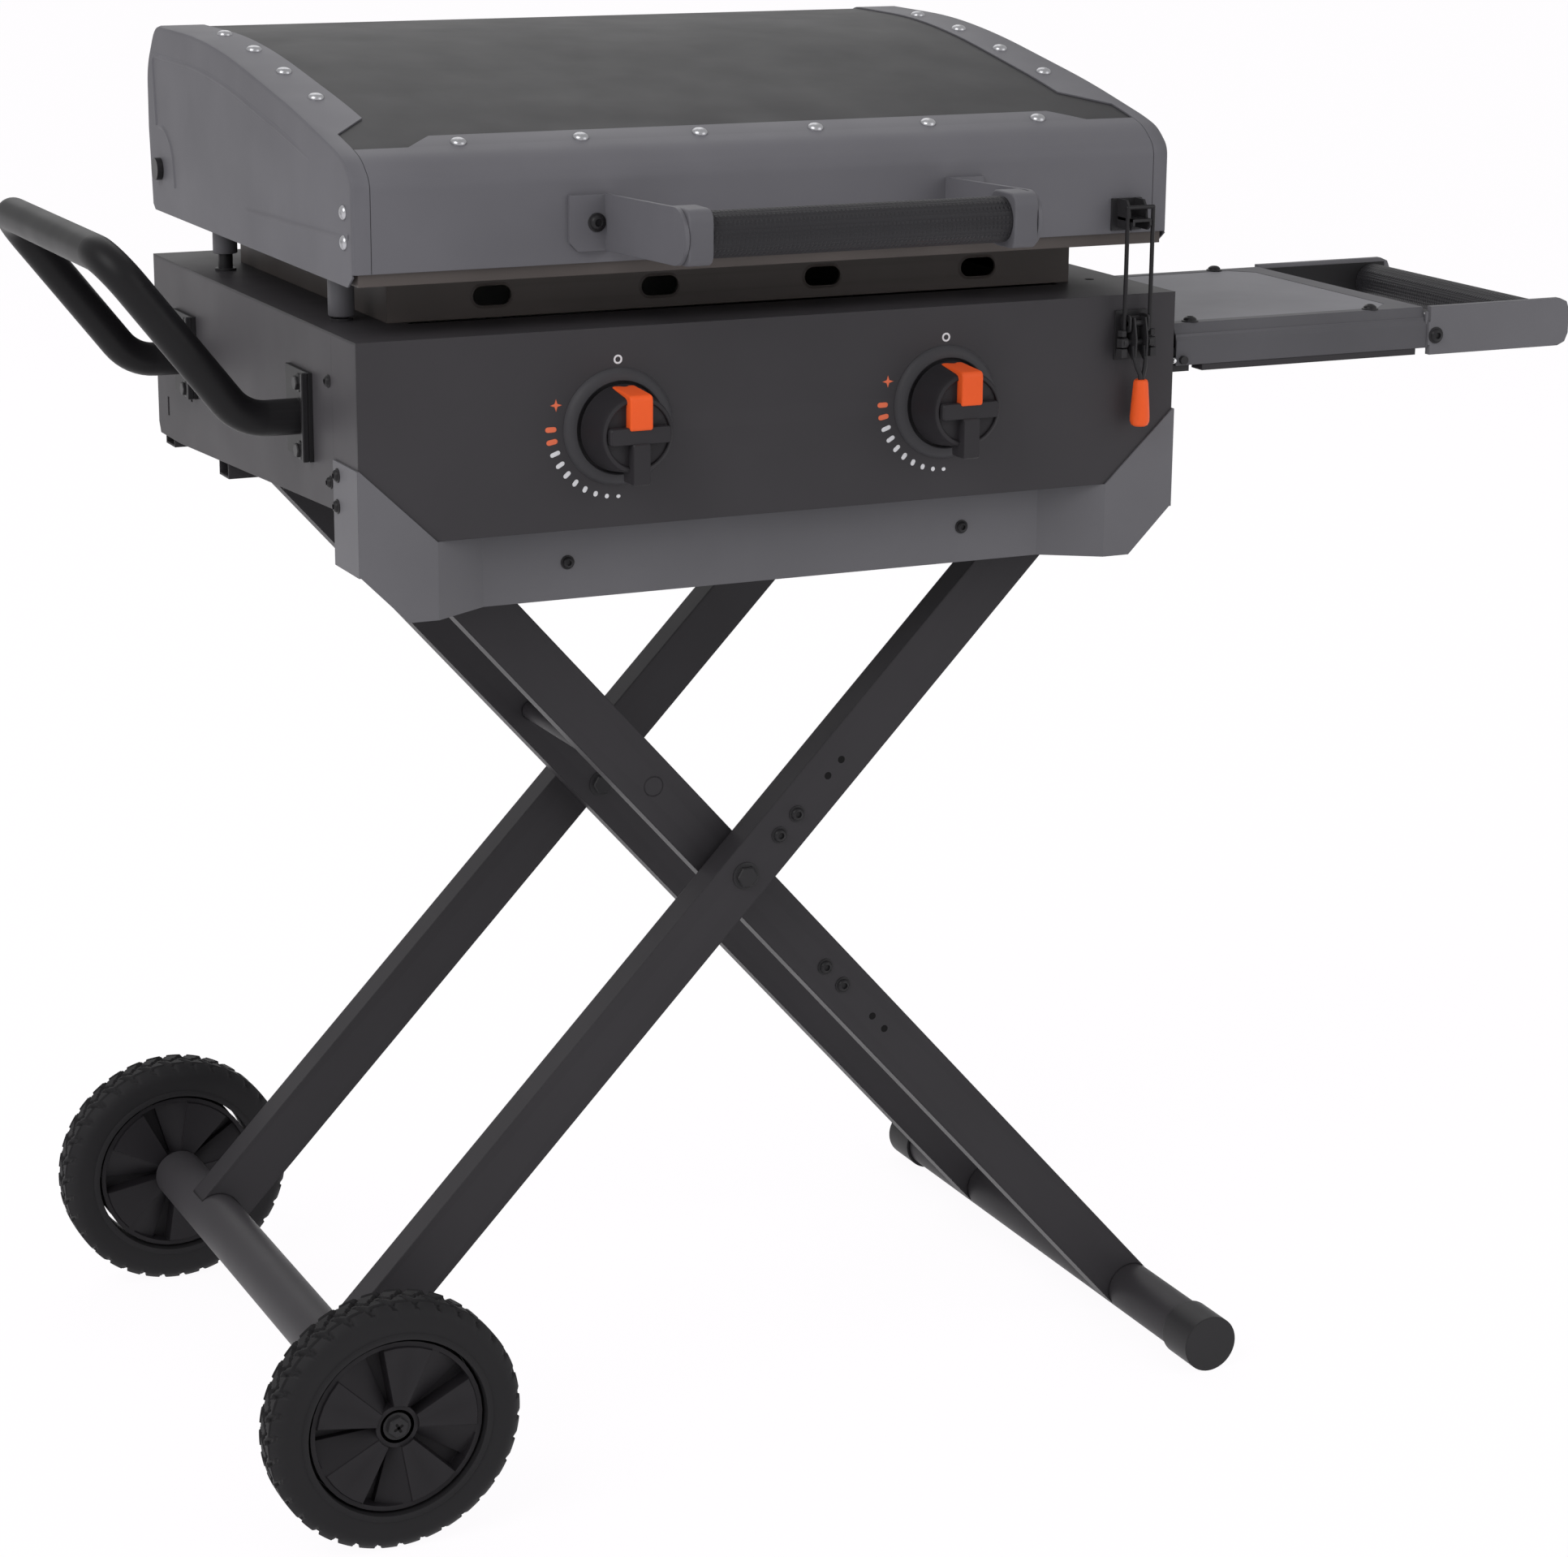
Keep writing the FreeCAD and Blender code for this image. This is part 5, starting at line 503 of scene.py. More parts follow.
    def sheet(self, outline: Sequence[Flat], holes: Sequence[Sequence[Flat]], axis: Axis,
              start: float,
              end: float) -> "Form":
        """Flat plate with holes through it.

        Args:
            outline: Corners of the plate.
            holes: Outline of each hole.
            axis: Axis through the plate.
            start: Near face of the plate.
            end: Far face of the plate.

        Returns:
            This form.
        """
        edges = []
        for line in (outline, *holes):
            corners = [self.mesh.verts.new(axis.point(u, v, start)) for u, v in line]
            edges += [self.mesh.edges.new(pair) for pair in zip(corners,
                                                                corners[1:] + corners[:1])]
        filled = bmesh.ops.triangle_fill(self.mesh, use_beauty=True, use_dissolve=False,
                                         edges=edges)
        faces = [part for part in filled["geom"] if isinstance(part, bmesh.types.BMFace)]
        grown = bmesh.ops.extrude_face_region(self.mesh, geom=faces, use_keep_orig=True)
        moved = [part for part in grown["geom"] if isinstance(part, bmesh.types.BMVert)]
        bmesh.ops.translate(self.mesh, verts=moved, vec=Vector(axis.point(0.0, 0.0, end - start)))
        return self

    def bead(self, path: Sequence[Flat], axis: Axis, level: float, rise: float,
             width: float) -> "Form":
        """Low ridge along a path on a flat face, that fades at its end.

        Args:
            path: Points of its middle line in the face.
            axis: Axis square to the face.
            level: Where the face lies along the axis.
            rise: Height of the ridge, negative toward the start of the axis.
            width: Width of the ridge.

        Returns:
            This form.
        """
        left = moved_in(path, -width / 2.0)
        right = moved_in(path, width / 2.0)
        rings = []
        for i, (near, mid, far) in enumerate(zip(left, path, right)):
            share = min(1.0, 0.05 + 6.0 * (len(path) - 1 - i) / len(path))
            rings.append([axis.point(near[0], near[1], level),
                          axis.point((near[0] + mid[0]) / 2, (near[1] + mid[1]) / 2,
                                     level + 0.8 * rise * share),
                          axis.point(mid[0], mid[1], level + rise * share),
                          axis.point((far[0] + mid[0]) / 2, (far[1] + mid[1]) / 2,
                                     level + 0.8 * rise * share),
                          axis.point(far[0], far[1], level)])
        return self.skin(rings)


class Workshop:
    """Puts finished forms into the scene, on the frame's bodies."""

    def __init__(self, frame: dict) -> None:
        """Take the body's middle and the panel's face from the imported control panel.

        Args:
            frame: The loaded frame.
        """
        low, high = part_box("control_panel")
        self.nodes = frame["nodes"]
        self.origin = Vector(((low.x + high.x) / 2.0, low.y, 0.0))

    def make(self, form: Form, name: str, finish: Finish, body: str, replaces: Sequence[str] = (),
             soften: float = 0.0, crease: float = 35.0) -> bpy.types.Object:
        """Turn a form into a piece that rides on a body.

        Args:
            form: The form, in millimetres.
            name: Name of the piece.
            finish: Its finish.
            body: Body that it rides on.
            replaces: Nodes that it stands for.
            soften: Width of the rounded edges in millimetres, or zero.
            crease: Angle in degrees above which an edge stays sharp.

        Returns:
            The new piece.
        """
        bmesh.ops.remove_doubles(form.mesh, verts=form.mesh.verts, dist=0.001)
        bmesh.ops.recalc_face_normals(form.mesh, faces=form.mesh.faces)
        for corner in form.mesh.verts:
            corner.co = self.origin + corner.co * MM
        for face in form.mesh.faces:
            face.smooth = True
        for edge in form.mesh.edges:
            edge.smooth = soften > 0.0 or edge.calc_face_angle(0.0) < math.radians(crease)
        mesh = bpy.data.meshes.new(name)
        form.mesh.to_mesh(mesh)
        form.mesh.free()
        piece = bpy.data.objects.new(name, mesh)
        bpy.context.scene.collection.objects.link(piece)
        mesh.materials.append(finish.material())
        if soften > 0.0:
            bevel = piece.modifiers.new("soft edges", "BEVEL")
            bevel.width = soften * MM
            bevel.segments = 3
            bevel.limit_method = "ANGLE"
            bevel.angle_limit = math.radians(crease)
            bevel.harden_normals = True
        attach(piece, body)
        if replaces:
            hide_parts(*replaces)
        LOG.info("%s on %s: %d faces", name, body, len(mesh.polygons))
        return piece

    def dress(self, finish: Finish, *nodes: str) -> None:
        """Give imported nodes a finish.

        Args:
            finish: The finish.
            nodes: Names of the nodes.
        """
        for node in nodes:
            mesh = self.nodes[node].data
            mesh.materials.clear()
            mesh.materials.append(finish.material())
            LOG.info("%s dressed in %s", node, finish.name)


@dataclass
class BodyShell:
    """The fixed body: sheets, panel marks, bolts and the heat guard."""

    half: float = 300.0
    gauge: float = 1.5
    knob_x: float = 120.6
    dial: float = 47.4
    dial_z: float = 749.0
    guard_half: float = 254.0
    guard_y: Flat = (70.0, 385.0)
    guard_z: Flat = (813.5, 846.5)
    vent_x: tuple[float, ...] = (-181.0, -60.6, 60.6, 181.0)
    vent_z: float = 828.0
    foot_x: float = 276.5
    foot_y: Flat = (96.0, 349.0)

    def build(self, shop: Workshop) -> None:
        """Dress the sheets and add the small parts.

        Args:
            shop: The workshop.
        """
        shop.dress(SIDE_COAT, "side_panel_left", "side_panel_right", "back_panel", "front_frame")
        shop.dress(GREY_COAT, "front_trim")
        shop.dress(PANEL_COAT, "control_panel", "top_deck")
        shop.dress(LEG_COAT, "base_rails", "leg_brackets", "bar_hooks")
        shop.dress(ZINC, "burner_box", "burners", "gas_manifold", "cup_runners", "grease_chute",
                   "grease_cup")
        shop.dress(BRASS, "gas_valves", "valve_spindle_left", "valve_spindle_right")
        shop.dress(SEASONED, "griddle_plate")
        self._guard(shop)
        self._marks(shop)
        self._bolts(shop)

    def _guard(self, shop: Workshop) -> None:
        """Heat guard with round-ended vents, and the griddle's feet with their studs."""
        guard = Form()
        low, high = self.guard_z
        front, back = self.guard_y
        vents = [pill(x, self.vent_z, 27.0, 13.0) for x in self.vent_x]
        guard.sheet([(-self.guard_half, low), (self.guard_half, low), (self.guard_half, high),
                     (-self.guard_half, high)], vents, Axis.Y, front, front + self.gauge)
        guard.block((-self.guard_half, self.guard_half), (back - self.gauge, back), self.guard_z)
        for side in (-1.0, 1.0):
            x = sorted((side * self.guard_half, side * (self.guard_half - self.gauge)))
            guard.block((x[0], x[1]), (front + self.gauge, back - self.gauge), self.guard_z)
        for x in self.vent_x:
            outer, inner = pill(x, self.vent_z, 31.0, 17.0), pill(x, self.vent_z, 27.0, 13.0)
            guard.skin([[Axis.Y.point(u, v, front) for u, v in outer],
                        [Axis.Y.point(u, v, front - 0.8) for u, v in inner],
                        [Axis.Y.point(u, v, front + 0.2) for u, v in inner]], ends=False)
        shop.make(guard, "heat_guard", SEASONED, "base", ["griddle_support"])
        feet = Form()
        studs = Form()
        near, far = self.foot_y
        for x, y, stud in ((-self.foot_x, near, 3.0), (-self.foot_x, far, 12.2),
                           (self.foot_x, far, 12.2)):
            feet.lathe([(8.75, high), (8.75, low + stud + 0.8), (8.2, low + stud),
                        (0.0, low + stud)],
                       Axis.Z, (x, y), 32)
            studs.lathe([(5.2, low + stud), (5.2, low + 1.8), (7.5, low + 1.5), (7.5, low),
                         (0.0, low)],
                        Axis.Z, (x, y), 32)
        # A near-black disc on the deck is painted shade for the inside of a hole.
        hole = Form().lathe([(3.4, low - 0.4), (3.4, low + 0.1), (0.0, low + 0.1)], Axis.Z,
                            (274.0, 75.0), 24)
        shop.make(hole, "deck_hole_shade", HOLE_SHADE, "base")
        shop.make(feet, "griddle_feet", GREY_COAT, "base")
        shop.make(studs, "griddle_foot_studs", BOLT_COAT, "base")

    def _marks(self, shop: Workshop) -> None:
        """Printed dial marks beside each knob."""
        white, salmon = Form(), Form()
        for middle in (-self.knob_x, self.knob_x):
            for i in range(10):
                angle = math.radians(180.0 + 10.0 * i)
                form = salmon if i < 2 else white
                long = 8.0 if i < 2 else 7.4 - 0.7 * (i - 2)
                thick = 3.6 if i < 2 else 3.0
                form.plate(pill(middle + self.dial * math.cos(angle),
                                self.dial_z + self.dial * math.sin(angle),
                                long, thick, angle, 5), Axis.Y, 0.0, -0.12)
            spark = []
            for i in range(8):
                reach = 4.2 if i % 2 == 0 else 1.4
                spark.append((middle - 43.7 + reach * math.cos(i * math.pi / 4.0),
                              764.8 + reach * math.sin(i * math.pi / 4.0)))
            salmon.plate(spark, Axis.Y, 0.0, -0.12)
            white.lathe([(3.1, 0.0), (3.1, -0.12), (1.8, -0.12), (1.8, 0.0)], Axis.Y,
                        (middle, 792.3), 24, loop=True)
        shop.make(white, "dial_marks_white", WHITE, "base")
        shop.make(salmon, "dial_marks_orange", SALMON, "base")

    def _bolts(self, shop: Workshop) -> None:
        """Bolts and screws on the side walls and the trim."""
        bolts = Form()
        plate_face = -self.half - 3.0
        for y in (108.0, 368.0):
            for z in (727.0, 772.0):
                bolts.hex_bolt(Axis.X, (y, z), plate_face, -3.5, 5.0)
        for side in (-1.0, 1.0):
            face = side * (self.half + self.gauge)
            for y, z in ((37.0, 722.4), (38.0, 701.9)):
                bolts.button_bolt(Axis.X, (y, z), face, side * 3.2, 4.0)
            bolts.button_bolt(Axis.Y, (side * 147.6, 654.8), 23.3, -3.0, 4.0)
        for z in (781.0, 714.5):
            bolts.button_bolt(Axis.X, (55.5, z), -self.half, -3.0, 3.6)
        shop.make(bolts, "body_bolt_heads", BOLT_COAT, "base", ["body_bolts"])


@dataclass
class Knob:
    """One gas knob with its bezel."""

    side: str
    middle: float
    level: float = 748.0

    def build(self, shop: Workshop) -> None:
        """Make the bezel, the barrel, the pointer and the tail.

        Args:
            shop: The workshop.
        """
        centre = (self.middle, self.level)
        bezel = Form().lathe([(38.8, 0.0), (38.4, -1.6), (36.0, -4.2), (33.0, -5.2), (31.2, -5.2),
                              (30.4, -4.2), (30.2, -1.0), (30.2, 0.0)], Axis.Y, centre, 72,
                             loop=True)
        shop.make(bezel, "bezel_" + self.side, BEZEL_PLASTIC, "base", ["knob_bezels"])
        body = "knob_" + self.side
        barrel = Form().lathe([(27.0, -5.0), (29.0, -6.2), (28.6, -9.0), (25.6, -31.0),
                               (24.6, -33.6),
                               (22.8, -34.6), (22.0, -34.2), (21.6, -32.6), (0.0, -32.6)],
                              Axis.Y, centre, 72)
        shop.make(barrel, "knob_barrel_" + self.side, DARK_PLASTIC, body, [body])
        band = Form().taper(ring_of([(self.middle - 21.4, self.level - 5.5),
                                     (self.middle + 21.4, self.level - 5.5),
                                     (self.middle + 21.4, self.level + 5.5),
                                     (self.middle - 21.4, self.level + 5.5)], 2.5), Axis.Y, -32.0,
                            -38.6, 1.0)
        tail_z = (self.level - 32.5, self.level - 5.0)
        tail = [(self.middle - 6.2, tail_z[0]), (self.middle + 6.2, tail_z[0]),
                (self.middle + 6.2, tail_z[1]), (self.middle - 6.2, tail_z[1])]
        band.taper(ring_of(tail, 1.6), Axis.Y, -24.0, -40.2, 1.0)
        shop.make(band, "knob_band_" + self.side, DARK_PLASTIC, body)
        pointer = Form()
        half = 8.0
        top = self.level + 28.0
        side_line = rounded([(-8.0, self.level + 24.0), (-8.0, top + 0.4), (-40.2, top - 1.4),
                             (-40.2, self.level + 3.5), (-30.0, self.level + 3.5)],
                            [2.0, 4.0, 2.5])
        pointer.plate(side_line, Axis.X, self.middle - half, self.middle + half)
        shop.make(pointer, "knob_pointer_" + self.side, ORANGE, body, soften=1.4)


@dataclass
class Hood:
    """The lid: bent sheets, bands, creases and rivets."""

    half: float = 297.0
    sheet: float = 1.2
    corners: tuple[Flat, ...] = ((10.0, 854.7), (10.0, 913.2), (25.0, 925.8), (44.0, 931.4),
                                 (121.5, 948.3),
                                 (259.7, 971.5), (334.3, 979.0), (440.0, 979.6), (462.8, 948.9),
                                 (464.0, 905.0))
    bends: tuple[float, ...] = (7.0, 8.0, 9.0, 34.0, 36.0, 36.0, 13.0, 13.0)
    strip_y: Flat = (40.0, 60.0)
    strip_half: Flat = (248.0, 227.0)
    band_in: float = 34.0
    band_cut: Flat = (70.0, 100.0)
    flange: float = 12.0
    round_edge: float = 3.0

    def line(self) -> list[Flat]:
        """The lid's outer profile, from the front's lower edge to the rear's."""
        return rounded(self.corners, self.bends)

    def level(self, y: float) -> float:
        """Height of the top at a place from front to back."""
        for near, far in zip(self.line(), self.line()[1:]):
            if near[0] <= y <= far[0] and far[0] > near[0]:
                return near[1] + (far[1] - near[1]) * (y - near[0]) / (far[0] - near[0])
        return self.corners[-1][1]

    def build(self, shop: Workshop) -> None:
        """Make the sheets, the ends, the creases and the rivets.

        Args:
            shop: The workshop.
        """
        self._front(shop)
        self._top(shop)
        for side in (-1.0, 1.0):
            self._end(shop, side)
        self._rivets(shop)

    def _front(self, shop: Workshop) -> None:
        """Front sheet, with its rear edge stepped back at the ends."""
        wide = self.half - self.flange - 0.4
        line = [p for p in self.line() if p[0] <= self.strip_y[0]]
        spans = [(p, wide) for p in line]
        spans.append(((self.strip_y[0], self.level(self.strip_y[0])), wide))
        spans.append(((self.strip_y[0] + 0.2, self.level(self.strip_y[0] + 0.2)),
                      self.strip_half[0]))
        for i in range(1, 5):
            share = i / 4.0
            y = self.strip_y[0] + share * (self.strip_y[1] - self.strip_y[0])
            spans.append(((y, self.level(y)),
                          self.strip_half[0] + share * (self.strip_half[1] - self.strip_half[0])))
        inner = moved_in([p for p, _ in spans], self.sheet)
        rings = []
        for (outer, half), under in zip(spans, inner):
            rings.append([(-half, *outer), (half, *outer), (half, *under), (-half, *under)])
        shop.make(Form().skin(rings), "hood_front_sheet", HOOD_COAT, "hood", ["hood_front"])

    def _top(self, shop: Workshop) -> None:
        """Dark top sheet, one thickness below the bands."""
        line = [p for p in self.line() if p[0] >= 30.0]
        outer = moved_in(line, self.sheet)
        inner = moved_in(line, 2.0 * self.sheet)
        wide = self.half - self.sheet - 0.1
        rings = [[(-wide, *a), (wide, *a), (wide, *b), (-wide, *b)] for a, b in zip(outer, inner)]
        shop.make(Form().skin(rings), "hood_top_sheet", LID_COAT, "hood", ["hood_top"])

    def _inner_edge(self, y: float, z: float) -> float:
        """How far the end band reaches in from the end of the lid, at a place on the profile."""
        if y < self.band_cut[0] and z < 940.0:
            return self.flange
        if y < self.band_cut[1] and z < 960.0:
            share = (y - self.band_cut[0]) / (self.band_cut[1] - self.band_cut[0])
            return self.flange + (self.band_in + 5.0 - self.flange) * share
        return self.band_in + 5.0 * max(0.0, 1.0 - (y - self.band_cut[1]) / 300.0)

    def _end(self, shop: Workshop, side: float) -> None:
        """One end of the lid.

        Args:
            shop: The workshop.
            side: Minus one for the left, one for the right.
        """
        name = "left" if side < 0.0 else "right"
        outer = [p for p in self.line() if p[0] < self.band_cut[0]]
        for y in (self.band_cut[0], self.band_cut[1]):
            outer.append((y, self.level(y)))
        outer += [p for p in self.line() if p[0] > self.band_cut[1] and p not in outer]
        soft = self.round_edge
        below = moved_in(outer, self.sheet)
        small = moved_in(outer, 0.29 * soft)
        deep = moved_in(outer, soft)
        rings = []
        for a, b, c, d in zip(outer, below, small, deep):
            reach = self.half - self._inner_edge(*a)
            rings.append([(side * reach, *a), (side * (self.half - soft), *a),
                          (side * (self.half - 0.29 * soft), *c), (side * self.half, *d),
                          (side * (self.half - self.sheet), *d), (side * (self.half - soft), *b),
                          (side * reach, *b)])
        wall = [*deep, (456.0, 849.5), (451.0, 845.7), (22.0, 845.7), (12.0, 853.0)]
        form = Form().skin(rings)
        form.plate(wall, Axis.X, side * self.half, side * (self.half - self.sheet))
        level = side * self.half
        crest = moved_in([p for p in self.line() if 60.0 < p[0] < 430.0 and p[1] > 930.0], 22.0)
        border = rounded([(441.0, 908.0), (446.0, 958.0), crest[-1]],
                         [10.0]) + list(reversed(crest))
        form.bead(border, Axis.X, level, side * 0.9, 4.0)
        form.bead(rounded([(399.0, 867.0), (402.0, 893.0), (420.0, 907.0), (438.0, 908.0)],
                          [10.0, 9.0]),
                  Axis.X, level, side * 0.9, 4.0)
        crease = [(233.0 - 215.0 * i / 12.0, 871.0 + 7.0 * i / 12.0) for i in range(13)]
        form.bead(list(reversed(crease)), Axis.X, level, side * 0.7, 4.5)
        shop.make(form, "hood_end_" + name + "_shell", HOOD_COAT, "hood", ["hood_end_" + name])

    def _rivets(self, shop: Workshop) -> None:
        """Dome rivets along the bands, the front strip and the upright corners."""
        form = Form()
        spots = [(side * 273.0, y) for side in (-1.0, 1.0) for y in (346.0, 279.1, 214.1, 147.8)]
        spots += [((2 * i - 5) * self.half / 7.0, 45.0) for i in range(6)]
        for x, y in spots:
            lean = math.atan2(self.level(y + 2.0) - self.level(y - 2.0), 4.0)
            rivet = Form().dome(Axis.Z, (0.0, 0.0), -0.3, 3.4, 5.4)
            turn = Matrix.Translation((x, y, self.level(y))) @ Matrix.Rotation(lean, 4, "X")
            bmesh.ops.transform(rivet.mesh, matrix=turn, verts=rivet.mesh.verts)
            scrap = bpy.data.meshes.new("rivet")
            rivet.mesh.to_mesh(scrap)
            rivet.mesh.free()
            form.mesh.from_mesh(scrap)
            bpy.data.meshes.remove(scrap)
        for side in (-1.0, 1.0):
            for z in (873.7, 892.7):
                form.dome(Axis.X, (26.0, z), side * self.half, side * 2.8, 4.8)
        shop.make(form, "hood_rivets", RIVET, "hood", ["hood_fasteners"])


@dataclass
class HoodHandle:
    """The lid's handle: two brackets, end caps and a moulded grip."""

    arm: float = 123.0
    reach: float = -102.7
    level: float = 885.0

    def build(self, shop: Workshop) -> None:
        """Make the feet, arms, caps, bolts and the grip.

        Args:
            shop: The workshop.
        """
        shop.dress(HOOD_COAT, "hood_handle_brackets")
        caps, bolts, grip = Form(), Form(), Form()
        for side in (-1.0, 1.0):
            x = sorted((side * 106.0, side * (self.arm - 0.1)))
            block = ring_of([(self.reach - 17.5, self.level - 18.0),
                             (self.reach + 17.5, self.level - 18.0),
                             (self.reach + 17.5, self.level + 18.0),
                             (self.reach - 17.5, self.level + 18.0)],
                            9.0)
            caps.plate(block, Axis.X, x[0], x[1])
            bolts.button_bolt(Axis.Y, (side * 132.0, 881.0), 7.0, -3.4, 5.2)
        shop.make(caps, "handle_end_caps", HOOD_COAT, "hood", ["hood_handle_grip"], soften=1.5)
        shop.make(bolts, "handle_bolts", BOLT_COAT, "hood")
        grip.lathe([(14.6, -106.2), (14.9, -104.0), (14.9, 104.0), (14.6, 106.2)], Axis.X,
                   (self.reach, self.level), 64)
        shop.make(grip, "handle_grip_sleeve", GRIP_PLASTIC, "hood")


@dataclass
class DrawLatch:
    """The latch that holds the lid down: base, wire, lever with its grip, and catch."""

    middle: float = 264.0
    reach: float = -10.0
    pin_z: float = 795.0
    half: float = 10.0

    def build(self, shop: Workshop) -> None:
        """Make the pieces of the latch.

        Args:
            shop: The workshop.
        """
        shop.dress(BOLT_COAT, "latch_wire_pin", "latch_wire")
        nuts = Form()
        for side in (-1.0, 1.0):
            for low, high, radius in ((772.0, 778.0, 4.4), (779.0, 785.0, 4.0),
                                      (786.5, 790.5, 3.4)):
                nuts.taper(circle(self.middle + side * 11.5, self.reach, radius, 6), Axis.Z, low,
                           high, 0.5)
        shop.make(nuts, "latch_wire_nuts", BOLT_COAT, "latch_wire")
        self._base(shop)
        self._lever(shop)
        self._catch(shop)

    def _base(self, shop: Workshop) -> None:
        """Plate on the panel with two ears and the lever's pin."""
        base = Form().block((self.middle - 12.5, self.middle + 12.5), (-2.0, 0.0), (769.0, 803.0))
        ear = ring_of([(-14.0, 789.0), (-2.0, 789.0), (-2.0, 801.0), (-14.0, 801.0)], 3.0)
        for x in (self.middle - 8.0, self.middle + 6.5):
            base.plate(ear, Axis.X, x, x + 1.5)
        base.lathe([(2.0, self.middle - 8.0), (2.0, self.middle + 8.0)], Axis.X,
                   (self.reach, self.pin_z), 20)
        shop.make(base, "latch_base_plate", BOLT_COAT, "base", ["latch_base"])

    def _lever(self, shop: Workshop) -> None:
        """Channel that narrows to a leaning stalk, with the coloured grip."""
        x = self.middle
        wall = [(-6.0, 799.5), (-14.5, 799.5), (-18.0, 785.0), (-17.4, 773.0), (-13.0, 770.0),
                (-6.5, 776.0)]
        lever = Form()
        for start in (x - 5.0, x + 3.8):
            lever.plate(wall, Axis.X, start, start + 1.2)
        lever.block((x - 5.0, x + 5.0), (-7.2, -6.0), (777.0, 799.5))
        left = [(x - 4.4, -14.0, 780.0), (x - 4.2, -15.6, 771.0), (x - 2.0, -15.4, 765.0),
                (x + 1.4, -14.2, 759.5),
                (x + 2.6, -12.6, 753.0)]
        right = [(x + 4.4, -14.0, 780.0), (x + 4.6, -15.6, 771.0), (x + 4.4, -15.2, 765.0),
                 (x + 4.0, -14.2, 760.0),
                 (x + 3.4, -12.6, 753.0)]
        lever.tube(left, 1.6, 12).tube(right, 1.6, 12)
        shop.make(lever, "latch_lever_channel", BOLT_COAT, "latch_lever", ["latch_lever"])
        grip = Form().lathe([(3.6, 756.0), (4.6, 755.4), (5.2, 753.6), (6.1, 742.0), (6.9, 730.0),
                             (6.8, 726.6),
                             (5.8, 724.2), (4.0, 723.2)], Axis.Z, (x + 3.4, -12.0), 40)
        shop.make(grip, "latch_grip_body", ORANGE, "latch_lever", ["latch_grip"])

    def _catch(self, shop: Workshop) -> None:
        """Plate on the lid with two ribs and the shelf that the wire pulls down."""
        x = self.middle
        catch = Form().block((x - 12.0, x + 11.5), (8.0, 10.0), (857.0, 879.0))
        rib = [(8.0, 859.0), (8.0, 879.0), (-3.0, 879.0), (-6.6, 874.0), (-7.4, 866.8),
               (-12.6, 866.8),
               (-13.0, 862.5), (-9.0, 859.0)]
        for start in (x - 7.4, x + 5.8):
            catch.plate(rib, Axis.X, start, start + 1.6)
        catch.block((x - 7.4, x + 7.4), (-12.8, 8.0), (864.9, 866.8))
        shop.make(catch, "hood_catch_hook", BOLT_COAT, "hood", ["hood_catch"])


@dataclass
class SideHandle:
    """The grab handle on the left."""

    plate_edges: Flat = (88.5, 348.5)

    def build(self, shop: Workshop) -> None:
        """Dress the tube and its plates.

        Args:
            shop: The workshop.
        """
        shop.dress(TUBE_COAT, "side_handle")
        flanges = Form()
        for y in self.plate_edges:
            flanges.block((-307.5, -303.0), (y, y + 3.5), (722.0, 781.0))
        shop.make(flanges, "side_handle_flanges", BOLT_COAT, "base", soften=0.8)


